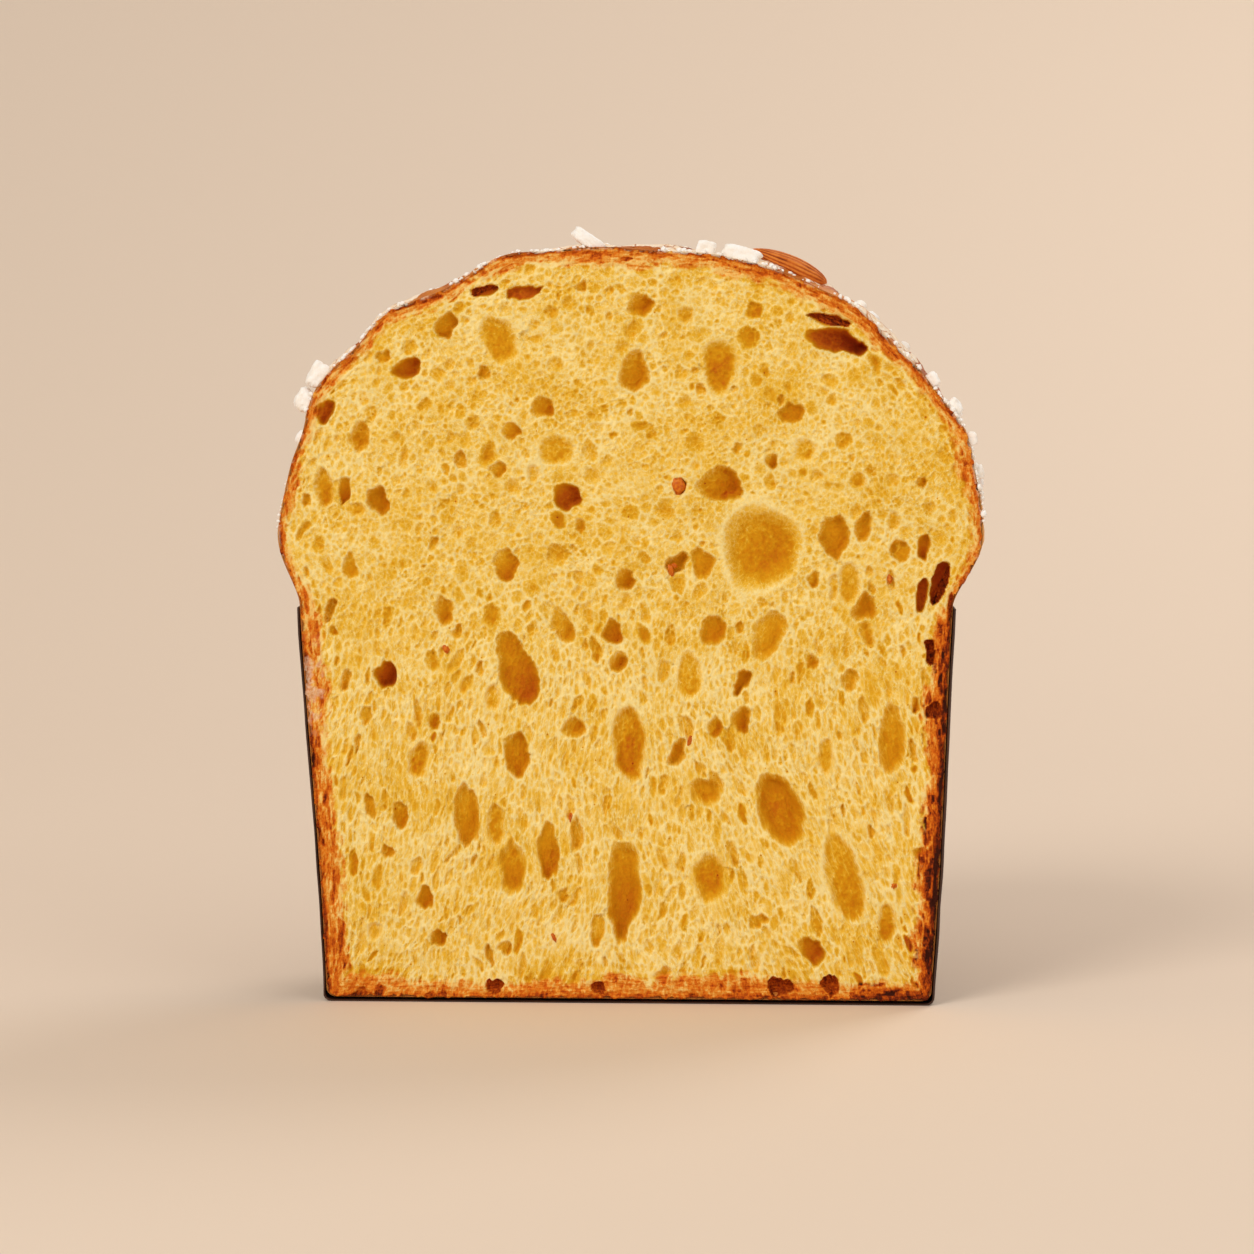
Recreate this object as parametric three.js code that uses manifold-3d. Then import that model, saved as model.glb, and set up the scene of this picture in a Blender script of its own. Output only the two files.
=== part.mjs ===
// Half of a tall domed panettone, standing in its half of the paper baking mould, cut face to the front.
// Millimetres, +Z up. The cut face looks along -Y, and the origin is on the floor under the piece's middle.
import * as THREE from "three";
import { mergeVertices } from "three/addons/utils/BufferGeometryUtils.js";
import Module from "manifold-3d";

const wasm = await Module();
wasm.setup();

// Driving dimensions. The mould is the usual one for a kilogram loaf, about 170 mm across at half height.
const mouldHeight = 107;
const mouldFootRadius = 82.5;
const mouldRimRadius = 88.4;
const paperThickness = 0.9;
const gap = 0.3; // left between two solids that touch
const topHeight = 202.4;
const bulgeHeight = 126; // where the dome is widest, above the mould's rim
const bulgeRadius = 93.6;
const domePower = 2.1; // the dome's section is a superellipse, a little squarer than an ellipse
const overhangPower = 1.5; // how sharply the dome rolls out over the rim
const footRounding = 2.4;
const axisY = -44.8; // the whole loaf's axis, in front of the origin
const cutInFront = 4.5; // the knife passed this far in front of the axis, so a little over half is left
const cutY = axisY - cutInFront;
const loafFoot = paperThickness + gap;
const wallTop = mouldHeight + gap;

// Facets of the outer surface.
const columns = 68;
const domeRows = 17;
const overhangRows = 4;
const wallRows = 5;
const footRows = 2;

// A fixed, repeatable number between 0 and 1 for each n.
function scatter(n) {
  const s = Math.sin(n * 127.1 + 311.7) * 43758.5453;
  return s - Math.floor(s);
}

const between = (low, high, share) => low + (high - low) * share;
const radians = THREE.MathUtils.degToRad;

// A sphere's net of points, each moved to pointAt(u, v). u goes once round, and v runs from pole to pole.
function wrap(around, rows, pointAt) {
  const net = new THREE.SphereGeometry(1, around, rows);
  const { position } = net.attributes;
  for (let i = 0; i < position.count; i++) {
    const v = Math.floor(i / (around + 1)) / rows;
    const u = (i % (around + 1)) / around;
    position.setXYZ(i, ...pointAt(u % 1, v));
  }
  return net;
}

// The same faces with only their places left, and one corner where several met.
function merge(geometry) {
  const bare = new THREE.BufferGeometry();
  bare.setAttribute("position", geometry.getAttribute("position"));
  bare.setIndex(geometry.index);
  return mergeVertices(bare, 1e-4);
}

function toSolid(geometry) {
  const merged = merge(geometry);
  const vertProperties = merged.attributes.position.array;
  const triVerts = new Uint32Array(merged.index.array);
  return new wasm.Manifold(new wasm.Mesh({ numProp: 3, vertProperties, triVerts }));
}

function toGeometry(solid) {
  const mesh = solid.getMesh();
  const geometry = new THREE.BufferGeometry();
  geometry.setAttribute("position", new THREE.BufferAttribute(new Float32Array(mesh.vertProperties), 3));
  geometry.setIndex(new THREE.BufferAttribute(new Uint32Array(mesh.triVerts), 1));
  geometry.computeVertexNormals();
  return geometry;
}

// The shape of the loaf

// The mould's wall isn't quite round, as it gave way where the dough pushed. Paper and bread share this.
function wallWave(angle, z) {
  return 0.35 * Math.sin(3 * angle + 0.045 * z) + 0.2 * Math.sin(5 * angle - 0.03 * z + 1.3);
}

function mouldRadius(angle, z) {
  return between(mouldFootRadius, mouldRimRadius, z / mouldHeight) + wallWave(angle, z);
}

// Broad swells of the baked dome: how far each stands out, its run along X, Y and Z, and its start.
const swells = [
  { lift: 0.55, x: 0.052, y: 0.047, z: 0.031, start: 0.4 },
  { lift: 0.45, x: -0.081, y: 0.066, z: 0.074, start: 2.1 },
  { lift: 0.35, x: 0.131, y: -0.118, z: 0.097, start: 4.0 },
  { lift: 0.22, x: 0.24, y: 0.21, z: -0.19, start: 1.2 },
];

// Single humps and dents on the cut edge, by place, reach and height.
const humps = [
  { x: -32, z: 201, reach: 8, lift: 1.9 },
  { x: -50, z: 190, reach: 8, lift: -1.2 },
  { x: -65, z: 184, reach: 7, lift: 1.6 },
  { x: -82, z: 167, reach: 9, lift: 1.5 },
  { x: -88, z: 153, reach: 6, lift: -0.8 },
  { x: 33, z: 200, reach: 9, lift: 0.7 },
  { x: 73, z: 176, reach: 8, lift: -1.0 },
  { x: 90, z: 153, reach: 9, lift: 1.1 },
];

function swell(x, y, z) {
  let sum = 0;
  for (const s of swells) sum += s.lift * Math.sin(s.x * x + s.y * y + s.z * z + s.start);
  for (const h of humps) {
    const away = ((x - h.x) ** 2 + (z - h.z) ** 2 + (y - cutY) ** 2 / 4) / h.reach ** 2;
    sum += h.lift * Math.exp(-away);
  }
  return sum;
}

const domeCentre = new THREE.Vector3(0, axisY, bulgeHeight);

// A point of the dome. Climb is 0 at the widest ring and a quarter turn at the top.
function domePoint(angle, climb) {
  const radius = bulgeRadius * Math.cos(climb) ** (2 / domePower);
  const z = bulgeHeight + (topHeight - bulgeHeight) * Math.sin(climb) ** (2 / domePower);
  const point = new THREE.Vector3(radius * Math.cos(angle), axisY + radius * Math.sin(angle), z);
  const out = point.clone().sub(domeCentre).normalize();
  return point.addScaledVector(out, swell(point.x, point.y, point.z));
}

// The climb at which the dome has a given radius.
const climbAt = (radius) => Math.acos((radius / bulgeRadius) ** (domePower / 2));

// The dome's outward direction at a point, from two near neighbours.
function domeNormal(angle, climb) {
  const step = 0.02;
  const here = domePoint(angle, climb);
  const along = domePoint(angle + step, climb).sub(here);
  const up = domePoint(angle, Math.min(climb + step, Math.PI / 2 - 1e-4)).sub(here);
  return along.cross(up).normalize();
}

// The overhang, where the dome rolls out over the rim. Share is 0 at the rim and 1 at the bulge.
function overhangPoint(angle, share) {
  const low = mouldRadius(angle, mouldHeight) - paperThickness - gap;
  const high = domePoint(angle, 0);
  const highRadius = Math.hypot(high.x, high.y - axisY);
  const radius = between(low, highRadius, Math.sin((share * Math.PI) / 2) ** overhangPower);
  const z = between(wallTop, high.z, share);
  return new THREE.Vector3(radius * Math.cos(angle), axisY + radius * Math.sin(angle), z);
}

function wallPoint(angle, z, inset) {
  const radius = mouldRadius(angle, z) - inset;
  return new THREE.Vector3(radius * Math.cos(angle), axisY + radius * Math.sin(angle), z);
}

// The rounded corner at the foot. Share is 0 on the wall and 1 on the flat underside.
function footPoint(angle, share, bottom, inset) {
  const turn = (share * Math.PI) / 2;
  const z = bottom + footRounding * (1 - Math.sin(turn));
  return wallPoint(angle, z, inset + footRounding * (1 - Math.cos(turn)));
}

// The loaf's outer surface, row by row from the top pole to the bottom one.
function loafRows() {
  const inset = paperThickness + gap;
  const rows = [() => domePoint(0, Math.PI / 2)];
  for (let i = domeRows - 1; i >= 0; i--) rows.push((a) => domePoint(a, ((i / domeRows) * Math.PI) / 2));
  for (let i = overhangRows - 1; i >= 0; i--) rows.push((a) => overhangPoint(a, i / overhangRows));
  const foot = loafFoot + footRounding;
  for (let i = wallRows - 1; i >= 0; i--) {
    rows.push((a) => wallPoint(a, between(foot, wallTop, i / wallRows), inset));
  }
  for (let i = 1; i <= footRows; i++) rows.push((a) => footPoint(a, i / footRows, loafFoot, inset));
  rows.push(() => new THREE.Vector3(0, axisY, loafFoot));
  return rows;
}

function fromRows(rows) {
  const last = rows.length - 1;
  return toSolid(wrap(columns, last, (u, v) => rows[Math.round(v * last)](u * Math.PI * 2).toArray()));
}

// All that the knife took away, in front of the cut.
function frontHalf() {
  const size = 400;
  const block = new THREE.BoxGeometry(size, size, size);
  block.translate(0, cutY - size / 2, topHeight / 2);
  return toSolid(block);
}

// The holes of the open crumb

// Each hole is [x, z, width, height, turn, depth]. Turn is in degrees, anticlockwise from the front.
const openHoles = [
  [2, 169.5, 7, 12, 0, 6],
  [-58.5, 170.5, 7.5, 5, 25, 7],
  [-80.5, 158.5, 4.5, 6.5, -25, 6],
  [-71.5, 152, 6, 8, 0, 5],
  [-75.5, 137.5, 3, 7, 0, 5],
  [-66.5, 135, 5.5, 7.5, 15, 7],
  [-16, 136, 8, 7, 0, 7.5],
  [-22.5, 160, 6.5, 6, -20, 4.5],
  [-31, 153.5, 5.5, 4, -30, 3.5],
  [-48, 181.5, 5, 7, -35, 6],
  [-32.5, 118, 6, 9, -5, 4],
  [-0.5, 114, 5, 6, -20, 6],
  [3.5, 187, 8, 6.5, 10, 6],
  [55.5, 177.5, 16, 6.5, -15, 9],
  [43.5, 158.5, 7.5, 5.5, -8, 4],
  [24.5, 139.5, 12, 9, 12, 7],
  [13.5, 139, 3.5, 4.5, 0, 6],
  [55, 126, 8, 12, -5, 6],
  [63, 128.5, 4.5, 8, 0, 5],
  [79, 123, 3.5, 6.5, -10, 6],
  [13, 118.5, 5, 7.5, -20, 6],
  [20, 118.5, 6, 9, 20, 4],
  [63, 107, 5.5, 9.5, -15, 6],
  [-49, 105.5, 4.5, 8.5, 10, 5],
  [-29.5, 90, 9, 22, 18, 7],
  [-17.5, 102, 6, 10, 20, 4],
  [-4, 100, 5, 6.5, 0, 5],
  [-2.5, 92, 5, 5, 0, 5],
  [-64.5, 88.5, 5, 8, 15, 8],
  [-29.5, 67, 7, 12, -3, 6],
  [-43, 50.5, 6, 18, 0, 6],
  [-31, 36.5, 6.5, 16, 0, 4.5],
  [-21, 41, 5.5, 15, 0, 4.5],
  [-13.5, 45, 3.5, 9, 0, 4.5],
  [-61, 50.5, 4, 7.5, 0, 4.5],
  [-14.5, 74.5, 5.5, 6, 0, 4.5],
  [-1, 31, 9, 27, 0, 7],
  [-54.5, 28, 3.5, 7, 0, 4.5],
  [-51, 17, 4.5, 5, -30, 5],
  [23, 100.5, 7, 8, 0, 5],
  [37.5, 99.5, 8.5, 14.5, -20, 4.5],
  [30.5, 87, 4, 7, -15, 6],
  [30.5, 76.5, 5, 8, 5, 5.5],
  [13.5, 67.5, 4.5, 7, -20, 6],
  [21.5, 58, 8.5, 9.5, 0, 6],
  [41, 52.5, 11, 22, 20, 9],
  [49.5, 14.5, 6, 8.5, 25, 6],
  [70.5, 72, 6, 21, 0, 5],
  [59.5, 87.5, 4, 6.5, 0, 4],
];
const softBubbles = [
  [-34, 178, 11.5, 15.5, 20, 4],
  [24.5, 171, 11, 15.5, 8, 4],
  [-19, 148.5, 12, 10, 0, 3],
  [47, 149, 7.5, 8, 0, 2.5],
  [35.5, 123, 25, 24, 0, 8],
  [59, 113.5, 7.5, 13, 0, 3],
  [-81, 138.5, 5.5, 12, 5, 4],
  [16.5, 88.5, 9, 13.5, 0, 3],
  [-56, 65.5, 7, 11, -10, 3.5],
  [0.5, 70.5, 10.5, 22, 0, 6],
  [22, 34, 11, 15, 8, 4.5],
  [58, 34.5, 12, 26, 14, 4.5],
  [69.5, 22.5, 5.5, 12, 0, 3.5],
];
const crustTears = [
  [-38, 191, 7, 2.5, 10, 5],
  [-27.5, 190.5, 10.5, 3, 8, 4.5],
  [53.5, 183, 11, 2.5, -15, 5],
  [83, 113.5, 4, 11, -15, 9],
  [78.5, 110, 2.5, 8.5, -5, 7],
  [80.5, 95, 2, 7, 0, 7],
  [82, 79.5, 4, 5, 0, 5],
  [41, 4.8, 7, 4.4, 0, 7],
  [54.5, 5.2, 4.5, 5.5, 0, 6],
  [-35.5, 4.4, 4, 4, 0, 5],
];

const allHoles = [...openHoles, ...softBubbles, ...crustTears];

// One hole: a ball drawn out to its size, uneven round its edge, with its middle on the cut face.
function hole([x, z, width, height, turn, depth], n) {
  const size = Math.max(width, height);
  const around = size > 9 ? 14 : 9;
  const rows = size > 9 ? 6 : 4;
  const twoLobes = 0.1 * scatter(n + 0.2);
  const threeLobes = 0.08 * scatter(n + 0.4);
  const start = scatter(n + 0.6) * Math.PI * 2;
  const ball = wrap(around, rows, (u, v) => {
    const a = u * Math.PI * 2;
    const uneven = 1 + twoLobes * Math.sin(2 * a + start) + threeLobes * Math.sin(3 * a - start);
    const reach = Math.sin(v * Math.PI) * uneven;
    const across = (reach * Math.cos(a) * width) / 2;
    const down = (reach * Math.sin(a) * height) / 2;
    return [across, depth * Math.cos(v * Math.PI), -down];
  });
  ball.rotateY(radians(-turn));
  ball.translate(x, cutY, z);
  return toSolid(ball);
}

// Small cells between the holes, kept clear of each other and of the edge.
const cellTries = 900;
const mostCells = 78;
const cellsFromEdge = 7;
const cellsApart = 0.8;

function smallCells() {
  const taken = allHoles.map(([x, z, w, h]) => ({ x, z, reach: Math.max(w, h) / 2 }));
  const cells = [];
  for (let i = 0; i < cellTries && cells.length < mostCells; i++) {
    const x = between(-84, 84, scatter(i + 1000));
    const z = between(8, 196, scatter(i + 3000));
    const width = between(1.6, 3.2, scatter(i + 5000));
    const height = width * between(1, z < 100 ? 2 : 1.3, scatter(i + 7000));
    const side = (z < mouldHeight ? mouldFootRadius : bulgeRadius) - cellsFromEdge;
    const rise = Math.max(0, z - bulgeHeight) / (topHeight - bulgeHeight - cellsFromEdge);
    const inside = (x / side) ** 2 + rise ** 2 < 1;
    const clear = taken.every((t) => Math.hypot(t.x - x, t.z - z) > t.reach + height / 2 + cellsApart);
    if (!inside || !clear) continue;
    taken.push({ x, z, reach: height / 2 });
    cells.push([x, z, width, height, between(-20, 20, scatter(i + 9000)), width * 0.8]);
  }
  return cells;
}

// A small cell is an octahedron drawn out to its size: four slopes under the cut face.
function smallCell([x, z, width, height, turn, depth]) {
  const cell = new THREE.OctahedronGeometry(1, 0);
  cell.scale(width / 2, depth, height / 2).rotateY(radians(-turn)).translate(x, cutY, z);
  return toSolid(cell);
}

// Almonds on the dome

const almondLength = 22;
const almondWidth = 12.5;
const almondThickness = 7.5;
const almondSunk = 0.2; // how much of the thickness is in the crust
const almonds = [
  { angle: 5.6, climb: 64.4, turn: 84 },
  { angle: 52, climb: 33, turn: 20 },
  { angle: 84, climb: 62, turn: 130 },
  { angle: 104, climb: 24, turn: 75 },
  { angle: 138, climb: 45, turn: 165 },
  { angle: 160, climb: 20, turn: 40 },
];

// An almond lies along its own X with its point at +X. Grow adds room on every side.
function almondSolid({ angle, climb, turn }, grow) {
  const a = radians(angle);
  const c = radians(climb);
  const nut = wrap(10, 8, (u, v) => {
    const along = -Math.cos(v * Math.PI);
    const round = Math.sin(v * Math.PI) * (1 - 0.22 * along - 0.12 * along * along);
    const around = u * Math.PI * 2;
    return [
      along * (almondLength / 2 + grow),
      round * Math.cos(around) * (almondWidth / 2 + grow),
      round * -Math.sin(around) * (almondThickness / 2 + grow),
    ];
  });
  const out = domeNormal(a, c);
  const level = new THREE.Vector3(-Math.sin(a), Math.cos(a), 0);
  const side = new THREE.Vector3().crossVectors(out, level).normalize();
  const long = new THREE.Vector3().crossVectors(side, out).normalize();
  const place = new THREE.Matrix4().makeBasis(long, side, out);
  const centre = domePoint(a, c).addScaledVector(out, almondThickness * (0.5 - almondSunk));
  nut.rotateZ(radians(turn));
  nut.applyMatrix4(place.setPosition(centre));
  return toSolid(nut);
}

// Sugar on the dome

// Grains that stand on the cut edge: how far along it, how far behind the cut, length, thickness and tilt.
const edgeGrains = [
  { x: -10.4, behind: 2.6, length: 8.8, thick: 3.5, tilt: -38 },
  { x: 20.8, behind: 2.8, length: 4.9, thick: 4, tilt: 0 },
  { x: 30.1, behind: 2.8, length: 9.6, thick: 3.9, tilt: 4 },
  { x: -80.6, behind: 3, length: 7, thick: 4.6, tilt: 12 },
  { x: -84.4, behind: 3.6, length: 6, thick: 5.2, tilt: -15 },
  { x: 80.6, behind: 3, length: 3.8, thick: 3, tilt: 10 },
  { x: 85.4, behind: 3.2, length: 4.4, thick: 3.4, tilt: 0 },
  { x: 89.2, behind: 3, length: 3.6, thick: 2.8, tilt: 10 },
  { x: 91.8, behind: 4, length: 3.8, thick: 2.6, tilt: 0 },
];
const rodSides = 7;
const scatteredGrains = 76;
const clearOfAlmonds = almondLength * 0.62; // from a grain to an almond's middle

// A rod or a lump of sugar: a short rounded bar along its own X.
function sugarBar(length, thick) {
  return wrap(rodSides, 4, (u, v) => {
    const a = u * Math.PI * 2;
    const end = [-1, -0.86, 0, 0.86, 1][Math.round(v * 4)];
    const round = [0, 0.8, 1, 0.8, 0][Math.round(v * 4)];
    return [(end * length) / 2, (round * Math.cos(a) * thick) / 2, (round * -Math.sin(a) * thick) / 2];
  });
}

// A crumbled lump: an icosahedron with uneven corners.
function sugarLump(size, n) {
  const lump = merge(new THREE.IcosahedronGeometry(1, 0));
  const { position } = lump.attributes;
  for (let i = 0; i < position.count; i++) {
    const r = (size / 2) * between(0.8, 1.15, scatter(n + i * 0.37));
    position.setXYZ(i, position.getX(i) * r, position.getY(i) * r, position.getZ(i) * r * 0.85);
  }
  return lump;
}

// Sets a grain on the crust with its X along the slope, tilted up by tilt degrees.
function settle(grain, angle, climb, turn, tilt, lift) {
  const out = domeNormal(angle, climb);
  const level = new THREE.Vector3(-Math.sin(angle), Math.cos(angle), 0);
  const up = new THREE.Vector3().crossVectors(out, level).normalize();
  const place = new THREE.Matrix4().makeBasis(up, new THREE.Vector3().crossVectors(out, up), out);
  grain.rotateY(-tilt).rotateZ(turn);
  grain.applyMatrix4(place.setPosition(domePoint(angle, climb).addScaledVector(out, lift)));
  return toSolid(grain);
}

function sugarGrains() {
  const grains = edgeGrains.map(({ x, behind, length, thick, tilt }) => {
    const t = radians(tilt);
    const lift = thick * 0.3 + (length / 2) * Math.abs(Math.sin(t)) * 0.3;
    const angle = Math.atan2(behind - cutInFront, x);
    return settle(sugarBar(length, thick), angle, climbAt(Math.hypot(behind - cutInFront, x)), 0, t, lift);
  });
  const nuts = almonds.map(({ angle, climb }) => domePoint(radians(angle), radians(climb)));
  const goldenAngle = Math.PI * (3 - Math.sqrt(5));
  for (let i = 0; i < scatteredGrains; i++) {
    const climb = Math.asin(between(0.16, 0.995, (i + 0.5) / scatteredGrains));
    const turned = ((i * goldenAngle) / (Math.PI * 2)) % 1;
    const angle = radians(between(4, 176, turned) + 7 * (scatter(i) - 0.5));
    const spot = domePoint(angle, climb);
    if (nuts.some((nut) => nut.distanceTo(spot) < clearOfAlmonds)) continue;
    const size = between(2.8, 4.8, scatter(i + 50) ** 1.6);
    const turn = scatter(i + 90) * Math.PI;
    const isRod = scatter(i + 130) > 0.8;
    const grain = isRod ? sugarBar(size * 1.9, size * 0.8) : sugarLump(size, i);
    grains.push(settle(grain, angle, climb, turn, 0, size * 0.22));
  }
  return grains;
}

// Torn crust

// Flakes of torn crust stand out along the widest ring, from one end of the cut to the other.
const flakeCount = 12;
const flakeLength = 6;

function crustFlakes() {
  const flakes = [];
  for (let i = 0; i < flakeCount; i++) {
    const angle = radians(between(0, 180, i / (flakeCount - 1)));
    const chip = sugarLump(flakeLength * between(0.7, 1.2, scatter(i + 400)), i + 400);
    chip.scale(0.32, 1, 0.55);
    const climb = radians(between(1, 7, scatter(i + 430)));
    flakes.push(settle(chip, angle, climb, 0, radians(-24), 0.1));
  }
  return flakes;
}

// The pieces

const front = frontHalf();

function loafSolid() {
  const holes = allHoles.map(hole);
  const cells = smallCells().map(smallCell);
  const pockets = almonds.map((nut) => almondSolid(nut, gap));
  const bread = fromRows(loafRows()).subtract(front);
  const open = bread.subtract(wasm.Manifold.union([...holes, ...cells]));
  const crusted = open.add(wasm.Manifold.union([...crustFlakes(), ...sugarGrains()]));
  const bodies = crusted.subtract(wasm.Manifold.union(pockets)).decompose();
  return bodies.sort((a, b) => b.volume() - a.volume())[0]; // without scraps that came loose
}

// The mould's wall and bottom in one, inset from its outer face by so much, up to a height.
function cup(inset, bottom, height) {
  const rows = [() => new THREE.Vector3(0, axisY, height)];
  const steps = 3;
  for (let i = steps; i >= 0; i--) {
    rows.push((a) => wallPoint(a, between(bottom + footRounding, height, i / steps), inset));
  }
  for (let i = 1; i <= footRows; i++) rows.push((a) => footPoint(a, i / footRows, bottom, inset));
  rows.push(() => new THREE.Vector3(0, axisY, bottom));
  return fromRows(rows);
}

function paperSolid() {
  const outside = cup(0, 0, mouldHeight);
  const inside = cup(paperThickness, paperThickness, mouldHeight * 1.1); // out through the open top
  return outside.subtract(inside).subtract(front);
}

const finishes = {
  bread: new THREE.MeshStandardMaterial({ name: "bread", color: 0xe6b14a, roughness: 0.85, metalness: 0 }),
  paper: new THREE.MeshStandardMaterial({ name: "paper", color: 0x2a1710, roughness: 0.7, metalness: 0 }),
  almond: new THREE.MeshStandardMaterial({ name: "almond", color: 0xa85f2a, roughness: 0.6, metalness: 0 }),
};

const panettone = new THREE.Group();

function place(name, solid, finish) {
  const mesh = new THREE.Mesh(toGeometry(solid), finish);
  mesh.name = name;
  panettone.add(mesh);
}

place("loaf", loafSolid(), finishes.bread);
place("paper_mould", paperSolid(), finishes.paper);
almonds.forEach((nut, i) => place(`almond_${i + 1}`, almondSolid(nut, 0), finishes.almond));

export default panettone;
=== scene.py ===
import math

import bpy
import numpy as np
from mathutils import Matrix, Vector, kdtree


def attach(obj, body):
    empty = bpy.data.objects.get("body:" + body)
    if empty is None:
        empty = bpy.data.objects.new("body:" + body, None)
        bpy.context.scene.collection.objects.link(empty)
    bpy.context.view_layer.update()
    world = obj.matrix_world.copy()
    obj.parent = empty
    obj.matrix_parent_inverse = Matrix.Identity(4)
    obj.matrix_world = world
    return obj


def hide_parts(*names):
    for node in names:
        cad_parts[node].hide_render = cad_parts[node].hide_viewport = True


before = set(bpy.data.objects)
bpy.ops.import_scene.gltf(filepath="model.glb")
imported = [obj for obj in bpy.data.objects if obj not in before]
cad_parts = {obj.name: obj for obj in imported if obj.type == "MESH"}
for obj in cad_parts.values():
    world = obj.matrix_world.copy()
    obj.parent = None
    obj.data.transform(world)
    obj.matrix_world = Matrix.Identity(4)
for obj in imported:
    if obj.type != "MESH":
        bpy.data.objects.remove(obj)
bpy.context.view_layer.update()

# Half of a tall domed panettone in its paper mould, cut face to the front.
# Lengths in the dictionaries are millimetres, as in the CAD. A mesh turns to metres when it is stored.
mm = 0.001
body = "root"


# The camera: a little above the loaf, looking slightly down, and a little to its right

view = {
    "distance": 1066,
    "height": 195,
    "right": 48,
    "aimHeight": 101.5,
    "lens": 115.4,
}

loaf = {
    "mouldHeight": 107,
    "mouldFootRadius": 82.5,
    "mouldRimRadius": 88.4,
    "skinInset": 1.2,       # paper and gap
    "wallTop": 107.3,
    "topHeight": 202.4,
    "bulgeHeight": 126,
    "bulgeRadius": 93.6,
    "domePower": 2.1,
    "overhangPower": 1.5,
    "footRounding": 2.4,
    "axisY": -44.8,
    "cutInFront": 4.5,
    # broad swells: how far each stands out, its run along X, Y and Z, and its start
    "swells": [
        (0.55, 0.052, 0.047, 0.031, 0.4),
        (0.45, -0.081, 0.066, 0.074, 2.1),
        (0.35, 0.131, -0.118, 0.097, 4.0),
        (0.22, 0.24, 0.21, -0.19, 1.2),
    ],
    # humps and dents on the cut edge: x, z, reach, height
    "humps": [
        (-32, 201, 8, 1.9),
        (-50, 190, 8, -1.2),
        (-65, 184, 7, 1.6),
        (-82, 167, 9, 1.5),
        (-88, 153, 6, -0.8),
        (33, 200, 9, 0.7),
        (73, 176, 8, -1.0),
        (90, 153, 9, 1.1),
    ],
}
axisY = loaf["axisY"]
cutY = axisY - loaf["cutInFront"]


def makeCamera():
    place = (view["right"] * mm, (cutY - view["distance"]) * mm, view["height"] * mm)
    bpy.ops.object.camera_add(location=place)
    eye = bpy.context.object
    eye.name = "camera"
    aim = Vector((0, cutY * mm, view["aimHeight"] * mm))
    eye.rotation_euler = (aim - eye.location).to_track_quat("-Z", "Y").to_euler()
    eye.data.lens = view["lens"]
    eye.data.clip_end = 30
    bpy.context.scene.camera = eye


makeCamera()
print("camera placed")


# The loaf's skin, as the CAD has it

def wallWave(angle, z):
    return 0.35 * np.sin(3 * angle + 0.045 * z) + 0.2 * np.sin(5 * angle - 0.03 * z + 1.3)


def mouldRadius(angle, z):
    spread = loaf["mouldRimRadius"] - loaf["mouldFootRadius"]
    return loaf["mouldFootRadius"] + spread * z / loaf["mouldHeight"] + wallWave(angle, z)


def swell(x, y, z):
    total = 0
    for lift, sx, sy, sz, start in loaf["swells"]:
        total = total + lift * np.sin(sx * x + sy * y + sz * z + start)
    for hx, hz, reach, lift in loaf["humps"]:
        away = ((x - hx) ** 2 + (z - hz) ** 2 + (y - cutY) ** 2 / 4) / reach**2
        total = total + lift * np.exp(-away)
    return total


def domePoint(angle, climb):
    c = np.clip(np.cos(climb), 0, 1) ** (2 / loaf["domePower"])
    s = np.clip(np.sin(climb), 0, 1) ** (2 / loaf["domePower"])
    x = loaf["bulgeRadius"] * c * np.cos(angle)
    y = axisY + loaf["bulgeRadius"] * c * np.sin(angle)
    z = loaf["bulgeHeight"] + (loaf["topHeight"] - loaf["bulgeHeight"]) * s
    out = np.stack([x, y - axisY, z - loaf["bulgeHeight"]], -1)
    out /= np.linalg.norm(out, axis=-1, keepdims=True)
    return np.stack([x, y, z], -1) + out * swell(x, y, z)[..., None]


def overhangPoint(angle, share):
    low = mouldRadius(angle, loaf["mouldHeight"]) - loaf["skinInset"]
    high = domePoint(angle, angle * 0)
    highRadius = np.hypot(high[..., 0], high[..., 1] - axisY)
    radius = low + (highRadius - low) * np.sin(share * math.pi / 2) ** loaf["overhangPower"]
    z = loaf["wallTop"] + (high[..., 2] - loaf["wallTop"]) * share
    return np.stack([radius * np.cos(angle), axisY + radius * np.sin(angle), z], -1)


def wallPoint(angle, z, inset):
    radius = mouldRadius(angle, z) - inset
    return np.stack([radius * np.cos(angle), axisY + radius * np.sin(angle), z + angle * 0], -1)


# t runs from 0 on the flat foot, over 1 at the wall's foot, 2 at the rim and 3 at the bulge, to 4 at the top
def skinPoint(angle, t):
    inset = loaf["skinInset"]
    rounding = loaf["footRounding"]
    if t <= 1:
        turn = (1 - t) * math.pi / 2
        z = inset + rounding * (1 - math.sin(turn))
        return wallPoint(angle, z, inset + rounding * (1 - math.cos(turn)))
    if t <= 2:
        foot = inset + rounding
        return wallPoint(angle, foot + (loaf["wallTop"] - foot) * (t - 1), inset)
    if t <= 3:
        return overhangPoint(angle, t - 2)
    return domePoint(angle, (t - 3) * math.pi / 2 + angle * 0)


def climbAt(radius):
    return math.acos((radius / loaf["bulgeRadius"]) ** (loaf["domePower"] / 2))


# Three directions on the dome: up the slope, level along it, and out
def domeBasis(angle, climb):
    step = 0.02
    here = domePoint(np.array(angle), climb)
    along = domePoint(np.array(angle + step), climb) - here
    up = domePoint(np.array(angle), min(climb + step, math.pi / 2 - 1e-4)) - here
    out = np.cross(along, up)
    out /= np.linalg.norm(out)
    level = np.array([-math.sin(angle), math.cos(angle), 0])
    slope = np.cross(out, level)
    slope /= np.linalg.norm(slope)
    return here, slope, np.cross(out, slope), out


# Helpers for values that vary over a surface

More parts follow.
